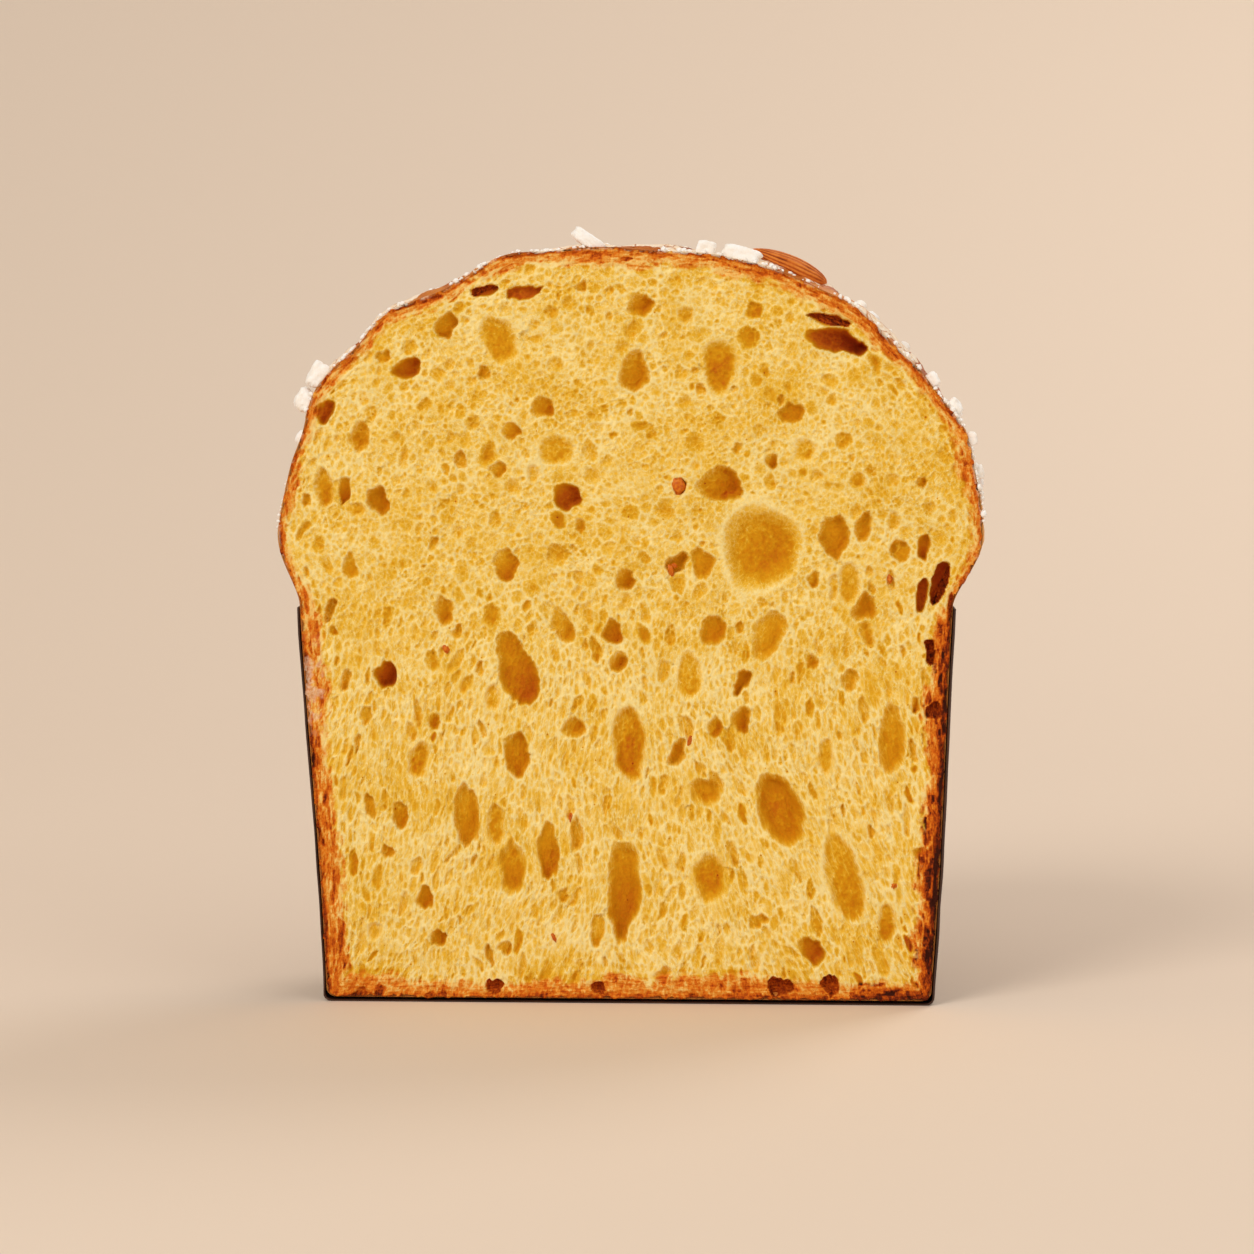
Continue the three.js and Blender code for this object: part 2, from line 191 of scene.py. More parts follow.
def scatter(n):
    s = math.sin(n * 127.1 + 311.7) * 43758.5453
    return s - math.floor(s)


def smooth(low, high, value):
    t = np.clip((value - low) / (high - low), 0, 1)
    return t * t * (3 - 2 * t)


def mix(low, high, share):
    return low + (high - low) * share


# The lesser of two fields, rounded over where they are nearly alike
def roundLess(first, second, over):
    share = np.clip(0.5 + 0.5 * (second - first) / over, 0, 1)
    return mix(second, first, share) - over * share * (1 - share)


# A soft random field of a plane, from -1 to 1, whose spots are 1 apart
def cloudPlane(seed):
    size = 256
    table = np.random.default_rng(seed).random((size, size)) * 2 - 1

    def cloud(u, v):
        iu, iv = np.floor(u).astype(int), np.floor(v).astype(int)
        fu, fv = u - iu, v - iv
        fu, fv = fu * fu * (3 - 2 * fu), fv * fv * (3 - 2 * fv)
        nu, nv = (iu + 1) % size, (iv + 1) % size
        iu, iv = iu % size, iv % size
        return mix(mix(table[iu, iv], table[nu, iv], fu), mix(table[iu, nv], table[nu, nv], fu), fv)

    return cloud


# The same in space, for points of shape (..., 3)
def cloudSpace(seed):
    size = 64
    table = np.random.default_rng(seed).random((size, size, size)) * 2 - 1

    def cloud(points):
        cell = np.floor(points).astype(int)
        f = points - cell
        f = f * f * (3 - 2 * f)
        total = 0
        for corner in range(8):
            step = np.array([corner & 1, corner >> 1 & 1, corner >> 2 & 1])
            i, j, k = np.moveaxis((cell + step) % size, -1, 0)
            weight = np.prod(np.where(step == 1, f, 1 - f), axis=-1)
            total = total + table[i, j, k] * weight
        return total

    return cloud


# Helpers for meshes

def clearSelection():
    bpy.ops.object.select_all(action="DESELECT")


# A place or a direction for each vertex, as rows of three
def readRows(source, name):
    flat = np.empty(len(source) * 3)
    source.foreach_get(name, flat)
    return flat.reshape(-1, 3)


def readPoints(piece):
    return readRows(piece.data.vertices, "co")


def writePoints(piece, points):
    piece.data.vertices.foreach_set("co", np.ascontiguousarray(points).ravel())
    piece.data.update()


def addPiece(name, mesh):
    piece = bpy.data.objects.new(name, mesh)
    bpy.context.scene.collection.objects.link(piece)
    return piece


# A mesh from arrays: points in millimetres, then sets of faces as (count, corners) arrays. Faces from the
# number flatFrom on are shaded flat.
def storeMesh(name, points, faceSets, flatFrom=None):
    mesh = bpy.data.meshes.new(name)
    mesh.vertices.add(len(points))
    mesh.vertices.foreach_set("co", (np.asarray(points) * mm).ravel())
    corners = np.concatenate([np.asarray(f, int).ravel() for f in faceSets])
    sizes = np.concatenate([np.full(len(f), len(f[0])) for f in faceSets])
    mesh.loops.add(len(corners))
    mesh.loops.foreach_set("vertex_index", corners)
    mesh.polygons.add(len(sizes))
    mesh.polygons.foreach_set("loop_start", np.concatenate([[0], np.cumsum(sizes)[:-1]]))
    smoothFaces = np.ones(len(sizes), bool)
    if flatFrom is not None:
        smoothFaces[flatFrom:] = False
    mesh.polygons.foreach_set("use_smooth", smoothFaces)
    mesh.update(calc_edges=True)
    return addPiece(name, mesh)


# A line of (radius, height) points turned round the loaf's axis. It gives the piece, and for each vertex
# its number on the line and its angle round the axis.
def turnProfile(name, line, steps):
    clearSelection()
    mesh = bpy.data.meshes.new(name)
    edges = [(i, i + 1) for i in range(len(line) - 1)]
    mesh.from_pydata([(radius * mm, 0, z * mm) for radius, z in line], edges, [])
    piece = addPiece(name, mesh)
    piece.select_set(True)
    bpy.context.view_layer.objects.active = piece
    layer = mesh.attributes.new("onLine", "INT", "POINT")
    layer.data.foreach_set("value", np.arange(len(line)))
    turn = piece.modifiers.new("turn", "SCREW")
    turn.steps = turn.render_steps = steps
    turn.use_merge_vertices = True
    turn.merge_threshold = 1e-6
    applyAll(piece)
    mesh = piece.data
    onLine = np.empty(len(mesh.vertices), int)
    mesh.attributes["onLine"].data.foreach_get("value", onLine)
    mesh.attributes.remove(mesh.attributes["onLine"])
    points = readPoints(piece)
    return piece, onLine, np.arctan2(points[:, 1], points[:, 0])


def startEdit(piece):
    bpy.context.view_layer.objects.active = piece
    bpy.ops.object.mode_set(mode="EDIT")
    bpy.ops.mesh.select_all(action="SELECT")


def tidyNormals(piece):
    startEdit(piece)
    bpy.ops.mesh.normals_make_consistent(inside=False)
    bpy.ops.object.mode_set(mode="OBJECT")


# Up to four values for each vertex, which the finishes read by name
def storeValues(piece, name, *values):
    count = len(piece.data.vertices)
    table = np.ones((count, 4))
    for i, value in enumerate(values):
        table[:, i] = value
    layer = piece.data.color_attributes.new(name, "FLOAT_COLOR", "POINT")
    layer.data.foreach_set("color", table.ravel())


def finishPiece(piece, slot, finish, *nodes):
    piece.data.materials.clear()
    piece.data.materials.append(finish)
    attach(piece, body)
    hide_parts(*nodes)


def applyAll(piece):
    bpy.context.view_layer.objects.active = piece
    for modifier in list(piece.modifiers):
        bpy.ops.object.modifier_apply(modifier=modifier.name)


# Shader maths: a wire is a socket's output, and sums of wires add Math nodes

class Wire:
    def __init__(self, tree, socket=None):
        self.tree = tree
        self.socket = socket

    def node(self, kind, settings=None, values=None, output=0):
        made = self.tree.nodes.new(kind)
        for key, value in (settings or {}).items():
            if key == "stops":
                elements = made.color_ramp.elements
                while len(elements) < len(value):
                    elements.new(0.5)
                for element, (position, colour) in zip(elements, value):
                    element.position = position
                    element.color = colour
            else:
                setattr(made, key, value)
        for key, value in (values or {}).items():
            if isinstance(value, Wire):
                self.tree.links.new(value.socket, made.inputs[key])
            else:
                made.inputs[key].default_value = value
        return Wire(self.tree, made.outputs[output])

    def maths(self, operation, first, second=0.0):
        return self.node("ShaderNodeMath", {"operation": operation}, {0: first, 1: second})

    def __add__(self, other):
        if self.socket.type == "VECTOR":
            return self.node("ShaderNodeVectorMath", {"operation": "ADD"}, {0: self, 1: other})
        return self.maths("ADD", self, other)

    def __radd__(self, other):
        return self.maths("ADD", other, self)

    def __sub__(self, other):
        return self.maths("SUBTRACT", self, other)

    def __rsub__(self, other):
        return self.maths("SUBTRACT", other, self)

    # how far from zero
    def size(self):
        return self.maths("ABSOLUTE", self)

    def stretched(self, *shares):
        return self.node("ShaderNodeVectorMath", {"operation": "MULTIPLY"}, {0: self, 1: shares})

    def __mul__(self, other):
        return self.maths("MULTIPLY", self, other)

    def steps(self, low, high):
        settings = {"interpolation_type": "SMOOTHSTEP"}
        return self.node("ShaderNodeMapRange", settings, {"Value": self, "From Min": low, "From Max": high})

    def ramp(self, stops):
        settings = {"stops": [(position, paint(*colour)) for position, colour in stops]}
        return self.node("ShaderNodeValToRGB", settings, {"Fac": self})

    def blend(self, share, other):
        return self.node("ShaderNodeMix", {"data_type": "RGBA"}, {0: share, 6: self, 7: other}, 2)


# A colour as a screen shows it, 0 to 255, turned to the shader's own scale
def paint(*shown):
    linear = [((c / 255 + 0.055) / 1.055) ** 2.4 if c > 10 else c / 3294.6 for c in shown]
    return (*linear, 1)


def startFinish(name, **constants):
    material = bpy.data.materials.new(name)
    material.use_nodes = True
    shader = material.node_tree.nodes["Principled BSDF"]
    for key, value in constants.items():
        shader.inputs[key.replace("_", " ")].default_value = value
    return material, shader, Wire(material.node_tree)


def objectPlace(kit):
    return kit.node("ShaderNodeTexCoord", output=3)


def noise(kit, place, scale, detail=2, rough=0.5):
    values = {"Vector": place, "Scale": scale, "Detail": detail, "Roughness": rough}
    return kit.node("ShaderNodeTexNoise", {}, values)


# How far a place is from the edges of the net that random cells make
def netEdges(kit, place, scale):
    settings = {"feature": "DISTANCE_TO_EDGE"}
    return kit.node("ShaderNodeTexVoronoi", settings, {"Vector": place, "Scale": scale})


# The four values that storeValues kept, each as a wire
def readStored(kit, name):
    data = kit.node("ShaderNodeAttribute", {"attribute_name": name})
    parts = kit.node("ShaderNodeSeparateColor", {}, {"Color": data}).socket.node
    sockets = (*parts.outputs, data.socket.node.outputs["Alpha"])
    return [Wire(kit.tree, socket) for socket in sockets]


def readPlace(kit, name):
    return kit.node("ShaderNodeAttribute", {"attribute_name": name}, output="Vector")


def connect(kit, wire, shader, socket):
    kit.tree.links.new(wire.socket, shader.inputs[socket])


# Bumps of a depth in millimetres
def bumpInto(kit, shader, height, depth, strength):
    values = {"Height": height, "Distance": depth * mm, "Strength": strength}
    connect(kit, kit.node("ShaderNodeBump", {}, values), shader, "Normal")


# A plain finish: colours by one or more mixed noises, each with its share, and the first one as bumps
def grainyFinish(name, noises, stops, depth, strength, **constants):
    material, shader, kit = startFinish(name, **constants)
    place = objectPlace(kit)
    wires = [noise(kit, place, *settings) for _, settings in noises]
    mixed = sum(wire * share for wire, (share, _) in zip(wires, noises))
    connect(kit, mixed.ramp(stops), shader, "Base Color")
    bumpInto(kit, shader, wires[0], depth, strength)
    return material


# Studio: pale floor that curves up behind, and soft warm light

studio = {
    # lengths in metres
    "floorColour": (228, 208, 188),
    "floorSize": 8,
    "bendAt": 0.5,
    "bendRadius": 1.8,
    "bendSteps": 24,
    "backWall": 3,
    # each lamp's place, size, power and colour
    "lamps": {
        "key": ((-1.2, -1.7, 1.6), 1.2, 27.5, (255, 252, 246)),
        "fill": ((1.6, -1.6, 0.8), 1.8, 8, (255, 252, 248)),
        "back": ((0.9, 1.1, 1.5), 0.9, 12, (255, 252, 248)),
    },
    "lampAim": 0.1,
    "worldColour": (255, 252, 248),
    "worldPower": 0.53,
}


def makeFloor():
    clearSelection()
    half = studio["floorSize"] / 2
    bpy.ops.mesh.primitive_plane_add(size=studio["floorSize"], location=(0, studio["bendAt"] - half, 0))
    floor = bpy.context.object
    floor.name = "floor"
    bpy.ops.object.mode_set(mode="EDIT")
    bpy.ops.mesh.select_all(action="DESELECT")
    bpy.ops.object.mode_set(mode="OBJECT")
    for edge in floor.data.edges:
        ends = [floor.data.vertices[i].co.y for i in edge.vertices]
        edge.select = min(ends) > half - 0.01
    bpy.ops.object.mode_set(mode="EDIT")
    bpy.ops.mesh.select_mode(type="EDGE")
    centre = (0, studio["bendAt"], studio["bendRadius"])
    bpy.ops.mesh.spin(steps=studio["bendSteps"], angle=-math.pi / 2, center=centre, axis=(1, 0, 0))
    bpy.ops.mesh.extrude_region_move(TRANSFORM_OT_translate={"value": (0, 0, studio["backWall"])})
    bpy.ops.mesh.select_all(action="SELECT")
    bpy.ops.mesh.remove_doubles(threshold=1e-5)
    bpy.ops.mesh.normals_make_consistent(inside=True)
    bpy.ops.object.mode_set(mode="OBJECT")
    bpy.ops.object.transform_apply(location=True, rotation=True, scale=True)
    bpy.ops.object.shade_smooth()
    material, shader, _ = startFinish("floor", Roughness=0.75)
    shader.inputs["Base Color"].default_value = paint(*studio["floorColour"])
    floor.data.materials.append(material)


def makeLight(name, place, size, power, colour):
    bpy.ops.object.light_add(type="AREA", location=place)
    lamp = bpy.context.object
    lamp.name = name
    lamp.data.shape = "DISK"
    lamp.data.size = size
    lamp.data.energy = power
    lamp.data.color = paint(*colour)[:3]
    aim = Vector((0, 0, studio["lampAim"]))
    lamp.rotation_euler = (aim - Vector(place)).to_track_quat("-Z", "Y").to_euler()


def makeStudio():
    makeFloor()
    for name, settings in studio["lamps"].items():
        makeLight(name, *settings)
    world = bpy.data.worlds.new("studio")
    world.use_nodes = True
    background = world.node_tree.nodes["Background"]
    background.inputs["Color"].default_value = paint(*studio["worldColour"])
    background.inputs["Strength"].default_value = studio["worldPower"]
    bpy.context.scene.world = world
    bpy.context.scene.view_settings.view_transform = "Standard"


makeStudio()
print("studio made")


# The cut face: a foam of cells drawn out by the dough's rise, with open holes, in a band of crust

crumb = {
    "spacing": 0.31,
    "gridX": (-95.4, 95.41),
    "gridZ": (0.9, 203.6),
    # stretches of the skin's t that the outline samples, each with its number of points
    "outlineRuns": ((0.05, 1, 8), (1, 2, 160), (2, 3, 40), (3, 3.97, 240)),
    "outlineStep": 0.5,
    "slabs": 5,             # meshes side by side, each of a size that the export keeps whole
    "sideSteps": ((0.25, 0.5), (1.0, 2.2)),     # share of the depth behind the face, and how far drawn in
    "seed": 21,
    "drift": (0.5, 3.4, 0.2, 1.3),      # how far places are read off, and the size of the spots, twice
    # radius, tries
    "sizes": ((2.8, 50), (2.2, 190), (1.75, 520), (1.35, 1500), (1.05, 5000), (0.8, 12000), (0.62, 20000)),
    "fineSizes": ((0.9, 6000), (0.65, 16000), (0.5, 30000)),
    "overlap": 0.3,         # share of a radius by which neighbours run into each other
    "web": 0.05,
    "backDepth": 13,
    "holeDepth": 0.5,       # how deep the holes look from the front, as a share of the CAD's
    # how wide the crust is on the cut face: a width for all of it, and what is added at each stretch
    "band": {
        "width": 2.3,
        "wall": 2.7,
        "lowWall": 0.6,
        "rightWall": 0.5,
        "foot": 3.2,
        "bulge": 0.9,
        "rightBulge": 0.7,
        "top": 1.1,
        "leftRim": 1.6,
        "rightRim": 0.4,
        "rimHeight": 84,
        "uneven": ((0.28, 9), (0.14, 2.3)),     # shares of the width, and the length of each wave
    },
    # relief in millimetres, and tones as places on the colour ramps, where more is darker
    "relief": {
        "cornerFill": 0.4,
        "cornerRounding": 0.3,
        "mostLean": 0.7,
        "leastWall": 0.35,
        "bowlPower": 1.8,
        "sunkFrom": 0.45,       # share of the walls that reach the cut
        "wallSink": 0.8,
        "swellSink": 0.18,
        "filmWidth": 0.17,
        "filmDepth": 0.3,
        "roughness": 0.05,
        "tone": 0.27,
        "depthShade": 0.31,
        "depthShadeReach": 1.8,
        "strandTone": 0.19,
        "filmTone": 0.11,
        "fineTone": 0.03,
        "patchTones": (0.05, 0.035),
        "holeShade": 0.06,
        "holeMottle": 0.05,
        "bubbleShade": 0.06,
        "bubbleMottle": 1.8,
        "lipHighlight": 0.1,
        "openLeanShade": 0.12,
        "leanShade": 0.08,
        "underReach": 2.4,
        "underTone": 0.05,
        "underLayers": 0.2,
        "crustDepth": 0.3,
        "crustLayers": 0.3,
        "crustHoles": 0.6,
        "shade": 0.26,
        "layerShade": 0.26,
        "outerShade": 0.2,
        "innerShade": 0.16,
        "creviceShade": 0.12,
        "rightCreviceShade": 0.4,
        "rightChar": 0.22,
        "footChar": 0.06,
        "tearShade": 0.7,
    },
    # how much each fine pattern of the finish pales or darkens the dough and the crust
    "pattern": {
        "hairs": 0.12,
        "rims": 0.1,
        "bubbles": 0.07,
        "poreShadows": 0.4,
        "grain": 0.12,
        "blush": 0.06,
        "crustLayers": 0.6,
        "crustThreads": 0.55,
        "crustGrain": 0.4,
        "crustHairs": 0.13,
        "crustPitShade": 0.2,
    },
    # each hole is x, z, width, height, turn in degrees, depth
    "openHoles": [
        (2, 169.5, 7, 12, 0, 6), (-58.5, 170.5, 7.5, 5, 25, 7), (-80.5, 158.5, 4.5, 6.5, -25, 6),
        (-71.5, 152, 6, 8, 0, 5), (-75.5, 137.5, 3, 7, 0, 5), (-66.5, 135, 5.5, 7.5, 15, 7),
        (-16, 136, 8, 7, 0, 7.5), (-22.5, 160, 6.5, 6, -20, 4.5), (-31, 153.5, 5.5, 4, -30, 3.5),
        (-48, 181.5, 5, 7, -35, 6), (-32.5, 118, 6, 9, -5, 4), (-0.5, 114, 5, 6, -20, 6),
        (3.5, 187, 8, 6.5, 10, 6), (55.5, 177.5, 16, 6.5, -15, 9), (43.5, 158.5, 7.5, 5.5, -8, 4),
        (24.5, 139.5, 12, 9, 12, 7), (13.5, 139, 3.5, 4.5, 0, 6), (55, 126, 8, 12, -5, 6),
        (63, 128.5, 4.5, 8, 0, 5), (79, 123, 3.5, 6.5, -10, 6), (13, 118.5, 5, 7.5, -20, 6),
        (20, 118.5, 6, 9, 20, 4), (63, 107, 5.5, 9.5, -15, 6), (-49, 105.5, 4.5, 8.5, 10, 5),
        (-29.5, 90, 9, 22, 18, 7), (-17.5, 102, 6, 10, 20, 4), (-4, 100, 5, 6.5, 0, 5),
        (-2.5, 92, 5, 5, 0, 5), (-64.5, 88.5, 5, 8, 15, 8), (-29.5, 67, 7, 12, -3, 6),
        (-43, 50.5, 6, 18, 0, 6), (-31, 36.5, 6.5, 16, 0, 4.5), (-21, 41, 5.5, 15, 0, 4.5),
        (-13.5, 45, 3.5, 9, 0, 4.5), (-61, 50.5, 4, 7.5, 0, 4.5), (-14.5, 74.5, 5.5, 6, 0, 4.5),
        (-1, 31, 9, 27, 0, 7), (-54.5, 28, 3.5, 7, 0, 4.5), (-51, 17, 4.5, 5, -30, 5),
        (23, 100.5, 7, 8, 0, 5), (37.5, 99.5, 8.5, 14.5, -20, 4.5), (30.5, 87, 4, 7, -15, 6),
        (30.5, 76.5, 5, 8, 5, 5.5), (13.5, 67.5, 4.5, 7, -20, 6), (21.5, 58, 8.5, 9.5, 0, 6),
        (41, 52.5, 11, 22, 20, 9), (49.5, 14.5, 6, 8.5, 25, 6), (70.5, 72, 6, 21, 0, 5),
        (59.5, 87.5, 4, 6.5, 0, 4), (-65, 173.5, 4.3, 2.7, 15, 3), (-12, 192, 3.7, 2.4, 0, 3),
        (-74, 117.5, 3.2, 7.5, 0, 3), (-13, 128.5, 3.2, 4.3, 0, 3), (-35, 143.5, 4.8, 3.2, -10, 3),
        (38.5, 146, 3.2, 3.7, 0, 4), (49.5, 114.5, 2.7, 4, 0, 3), (78, 140, 2.4, 3.2, 0, 3.5),
        (-75.5, 87, 2.4, 5.9, 0, 4), (-78.5, 100, 2.1, 3.2, 20, 3), (-70, 77, 3.2, 4.8, 0, 3),
        (-52, 76, 3.7, 4.8, 0, 3.5), (-64.5, 41, 3.2, 3.7, 0, 4), (-33, 14.5, 3.7, 3.2, 0, 3),
        (-8, 20, 3.2, 8, 0, 3), (-17, 29, 2.7, 4.8, 0, 3), (49, 92.5, 4.3, 4.3, 0, 3.5),
        (78.5, 41, 3.5, 4.3, 0, 4), (9.5, 7.5, 3.7, 4.3, 0, 3.5), (77, 81, 2.1, 5.3, 0, 4),
        (35, 22.5, 4.8, 4.3, 0, 3), (23.5, 74.5, 3.2, 5.9, 0, 3.5),
    ],
    # holes whose tone is painted darker and redder, and by how much; a value below 0 makes one paler
    "holeToneShifts": {
        (55.5, 177.5): 0.24, (-16, 136): 0.16, (-64.5, 88.5): 0.18, (-58.5, 170.5): 0.16,
        (-80.5, 158.5): 0.18, (49.5, 14.5): 0.1, (79, 123): 0.1, (24.5, 139.5): -0.06, (41, 52.5): 0.05,
    },
    "softBubbles": [
        (-34, 178, 11.5, 15.5, 20, 4), (24.5, 171, 11, 15.5, 8, 4), (-19, 148.5, 12, 10, 0, 3),
        (47, 149, 7.5, 8, 0, 2.5), (35.5, 123, 25, 24, 0, 8), (59, 113.5, 7.5, 13, 0, 3),
        (-81, 138.5, 5.5, 12, 5, 4), (16.5, 88.5, 9, 13.5, 0, 3), (-56, 65.5, 7, 11, -10, 3.5),
        (0.5, 70.5, 10.5, 22, 0, 6), (22, 34, 11, 15, 8, 4.5), (58, 34.5, 12, 26, 14, 4.5),
        (69.5, 22.5, 5.5, 12, 0, 3.5), (-72.5, 132.5, 5.9, 5.3, 0, 2.5), (-25, 142.5, 4.3, 5.9, 0, 2.5),
        (15.5, 184.5, 5.3, 4.8, 0, 2.5), (61, 140.5, 5.3, 6.4, 0, 2.5), (70.5, 130, 3.7, 6.4, 0, 2.5),
        (-36, 82.5, 4.8, 8, 0, 3), (-35, 48, 5.3, 13.3, 0, 3), (-68, 19, 4.8, 5.3, -15, 2.5),
        (53, 67, 5.3, 10.7, 0, 2.5), (55, 112.5, 3.7, 8, 0, 2.5), (70, 114, 2.7, 6.4, 0, 2.5),
    ],
    "crustTears": [
        (-38, 191, 7, 2.5, 10, 5), (-27.5, 190.5, 10.5, 3, 8, 4.5), (53.5, 183, 11, 2.5, -15, 5),
        (83, 113.5, 4, 11, -15, 9), (78.5, 110, 2.5, 8.5, -5, 7), (80.5, 95, 2, 7, 0, 7),
        (82, 79.5, 4, 5, 0, 5), (41, 4.8, 7, 4.4, 0, 7), (54.5, 5.2, 4.5, 5.5, 0, 6),
        (-35.5, 4.4, 4, 4, 0, 5), (-7.7, 3.7, 4, 2.7, 0, 5),
    ],
}


# The edge of the cut face, anticlockwise from the right of the foot
def cutOutline():
    def at(t, side):
        radius = loaf["bulgeRadius"]
        for _ in range(12):
            a = math.asin(max(-1, min(1, -loaf["cutInFront"] / radius)))
            point = skinPoint(np.array(a if side > 0 else math.pi - a), t)
            radius = math.hypot(point[0], point[1] - axisY)
        return point[0], point[2], radius

    ts = np.unique(np.concatenate([np.linspace(*run) for run in crumb["outlineRuns"]]))
    nearAxis = loaf["cutInFront"] + 1.5
    sides = [[at(t, side) for t in ts] for side in (1, -1)]
    right, left = ([(x, z) for x, z, radius in side if radius > nearAxis] for side in sides)
    loop = right + left[::-1]
    points = []
    for (x0, z0), (x1, z1) in zip(loop, loop[1:] + loop[:1]):
        n = max(1, int(math.hypot(x1 - x0, z1 - z0) / crumb["outlineStep"]))
        points += [(mix(x0, x1, k / n), mix(z0, z1, k / n)) for k in range(n)]
    return np.array(points)


outline = cutOutline()
gridX, gridZ = (np.arange(*crumb[name], crumb["spacing"]) for name in ("gridX", "gridZ"))
atX, atZ = np.meshgrid(gridX, gridZ, indexing="ij")


# For every point of the grid: how far in from the outline it is, and at the outline's point nearest to it the
# outline's direction, the way along it, the place, and the direction inward
def edgeField():
    tangent = np.roll(outline, -1, 0) - np.roll(outline, 1, 0)
    tangent /= np.linalg.norm(tangent, axis=1, keepdims=True)
    inward = np.stack([-tangent[:, 1], tangent[:, 0]], -1)
    length = np.concatenate([[0], np.cumsum(np.linalg.norm(np.diff(outline, axis=0), axis=1))])
    tree = kdtree.KDTree(len(outline))
    for i, (x, z) in enumerate(outline):
        tree.insert((x, z, 0), i)
    tree.balance()
    nearest = np.array([tree.find((x, z, 0))[1] for x, z in zip(atX.ravel(), atZ.ravel())])
    away = np.stack([atX.ravel(), atZ.ravel()], -1) - outline[nearest]
    inside = np.einsum("ij,ij->i", away, inward[nearest])
    direction = np.arctan2(tangent[nearest, 1], tangent[nearest, 0])
    fields = (inside, direction, length[nearest], outline[nearest], inward[nearest])
    return [field.reshape(*atX.shape, *field.shape[1:]) for field in fields]


fromEdge, edgeTurn, edgeWay, edgeSpot, edgeInward = edgeField()
cloudA, cloudB, cloudC, cloudD = (cloudPlane(seed) for seed in (1, 2, 3, 4))
print("cut outline measured")


# Which way the cells are drawn out, and how much: up in the lower half, and along the crust near it
def flowField():
    low = smooth(125, 75, atZ)
    lean = np.radians(90 + np.where(atX > 0, 20, 9) * np.tanh(atX / 40)) + 0.3 * cloudA(atX / 15, atZ / 15)
    grow = 0.15 + 1.8 * low + 0.25 * cloudB(atX / 20, atZ / 20)
    across, up = np.cos(2 * lean) * grow, np.sin(2 * lean) * grow
    foot = smooth(14, 6, atZ)
    inside = np.maximum(fromEdge, 0)
    edge = np.exp(-inside / 8) * (1 - foot) + 2.2 * np.exp(-inside / 2.2)
    across = across + edge * np.cos(2 * edgeTurn)
    up = up + edge * np.sin(2 * edgeTurn)
    return np.arctan2(up, across) / 2, 1 + np.hypot(across, up)


# Two lengths that run across and along the strands of dough, for the fine hairs
def strandField():
    rise = np.cumsum(mix(0.85, 0.24, smooth(125, 70, gridZ))) * crumb["spacing"]
    across = atX + np.where(atX > 0, 0.36, 0.16) * np.tanh(atX / 40) * (atZ - 60) * smooth(125, 70, atZ)
    return across + 1.2 * cloudA(atX / 15, atZ / 15), rise[None, :] + atX * 0


flow, stretch = flowField()
# places are read a little off, so that no cell keeps an even outline
far, broad, near, small = crumb["drift"]
driftX = far * cloudA(atX / broad, atZ / broad + 7) + near * cloudC(atX / small + 3, atZ / small)
driftZ = far * cloudB(atX / broad + 5, atZ / broad) + near * cloudD(atX / small, atZ / small + 9)
rng = np.random.default_rng(crumb["seed"])


# Cells drawn over each other on the grid. Each point keeps how far it lies inside its two nearest cells.
class Foam:
    def __init__(self):
        far = 6.0
        self.near = np.full(atX.shape, far)
        self.next = np.full(atX.shape, far)
        self.nearCell = np.zeros(atX.shape, int)
        self.nextCell = np.zeros(atX.shape, int)
        self.cells = [(0.15, 1, -0.05, 0, 0, 0, 0, 0.5)]

    # width is half the short side, ratio the long side to the short one, turn the long side's direction.
    # loose is how far the cell gives way to the drift, and hold how much it keeps its neighbours out.
    def place(self, x, z, width, ratio, turn, values, lobes, loose=1.0, hold=0.0):
        cell = len(self.cells)
        self.cells.append(values)
        reach = width * ratio + 2.4
        i0, i1 = np.searchsorted(gridX, [x - reach, x + reach])
        j0, j1 = np.searchsorted(gridZ, [z - reach, z + reach])
        if i0 >= i1 or j0 >= j1:
            return
        box = (slice(i0, i1), slice(j0, j1))
        px = atX[box] + loose * driftX[box] - x
        pz = atZ[box] + loose * driftZ[box] - z
        c, s = math.cos(turn), math.sin(turn)
        u = (px * c + pz * s) / (width * ratio)
        v = (pz * c - px * s) / width
        q = np.hypot(u, v) + 1e-6
        around = np.arctan2(v, u)
        two, three, start = lobes
        uneven = 1 + two * np.cos(2 * around + start) + three * np.cos(3 * around - 2 * start)
        q = q / (uneven + 0.6 * three * np.cos(5 * around + 3 * start))
        slope = np.hypot(u / (width * ratio), v / width) / q
        d = (q - 1) / np.maximum(slope, 1e-6) - hold
        near, following = self.near[box], self.next[box]
        nearCell, nextCell = self.nearCell[box], self.nextCell[box]
        first = d < near
        second = ~first & (d < following)
        nextCell[first] = nearCell[first]
        following[first] = near[first]
        nearCell[first] = cell
        near[first] = d[first]
        nextCell[second] = cell
        following[second] = d[second]

    def fill(self, sizes, spots, follow, makeCell):
        for size, tries in sizes:
            picks = spots[rng.integers(0, len(spots), tries)]
            for i, j in picks:
                radius = size * rng.uniform(0.88, 1.15)
                if self.near[i, j] < radius * (1 - crumb["overlap"]):
                    continue
                ratio = 1 + (stretch[i, j] - 1) * follow * rng.uniform(0.7, 1.25)
                width = radius / math.sqrt(ratio)
                turn = flow[i, j] + rng.normal(0, 0.15)
                self.place(atX[i, j], atZ[i, j], width, ratio, turn, *makeCell(radius, width, i, j))
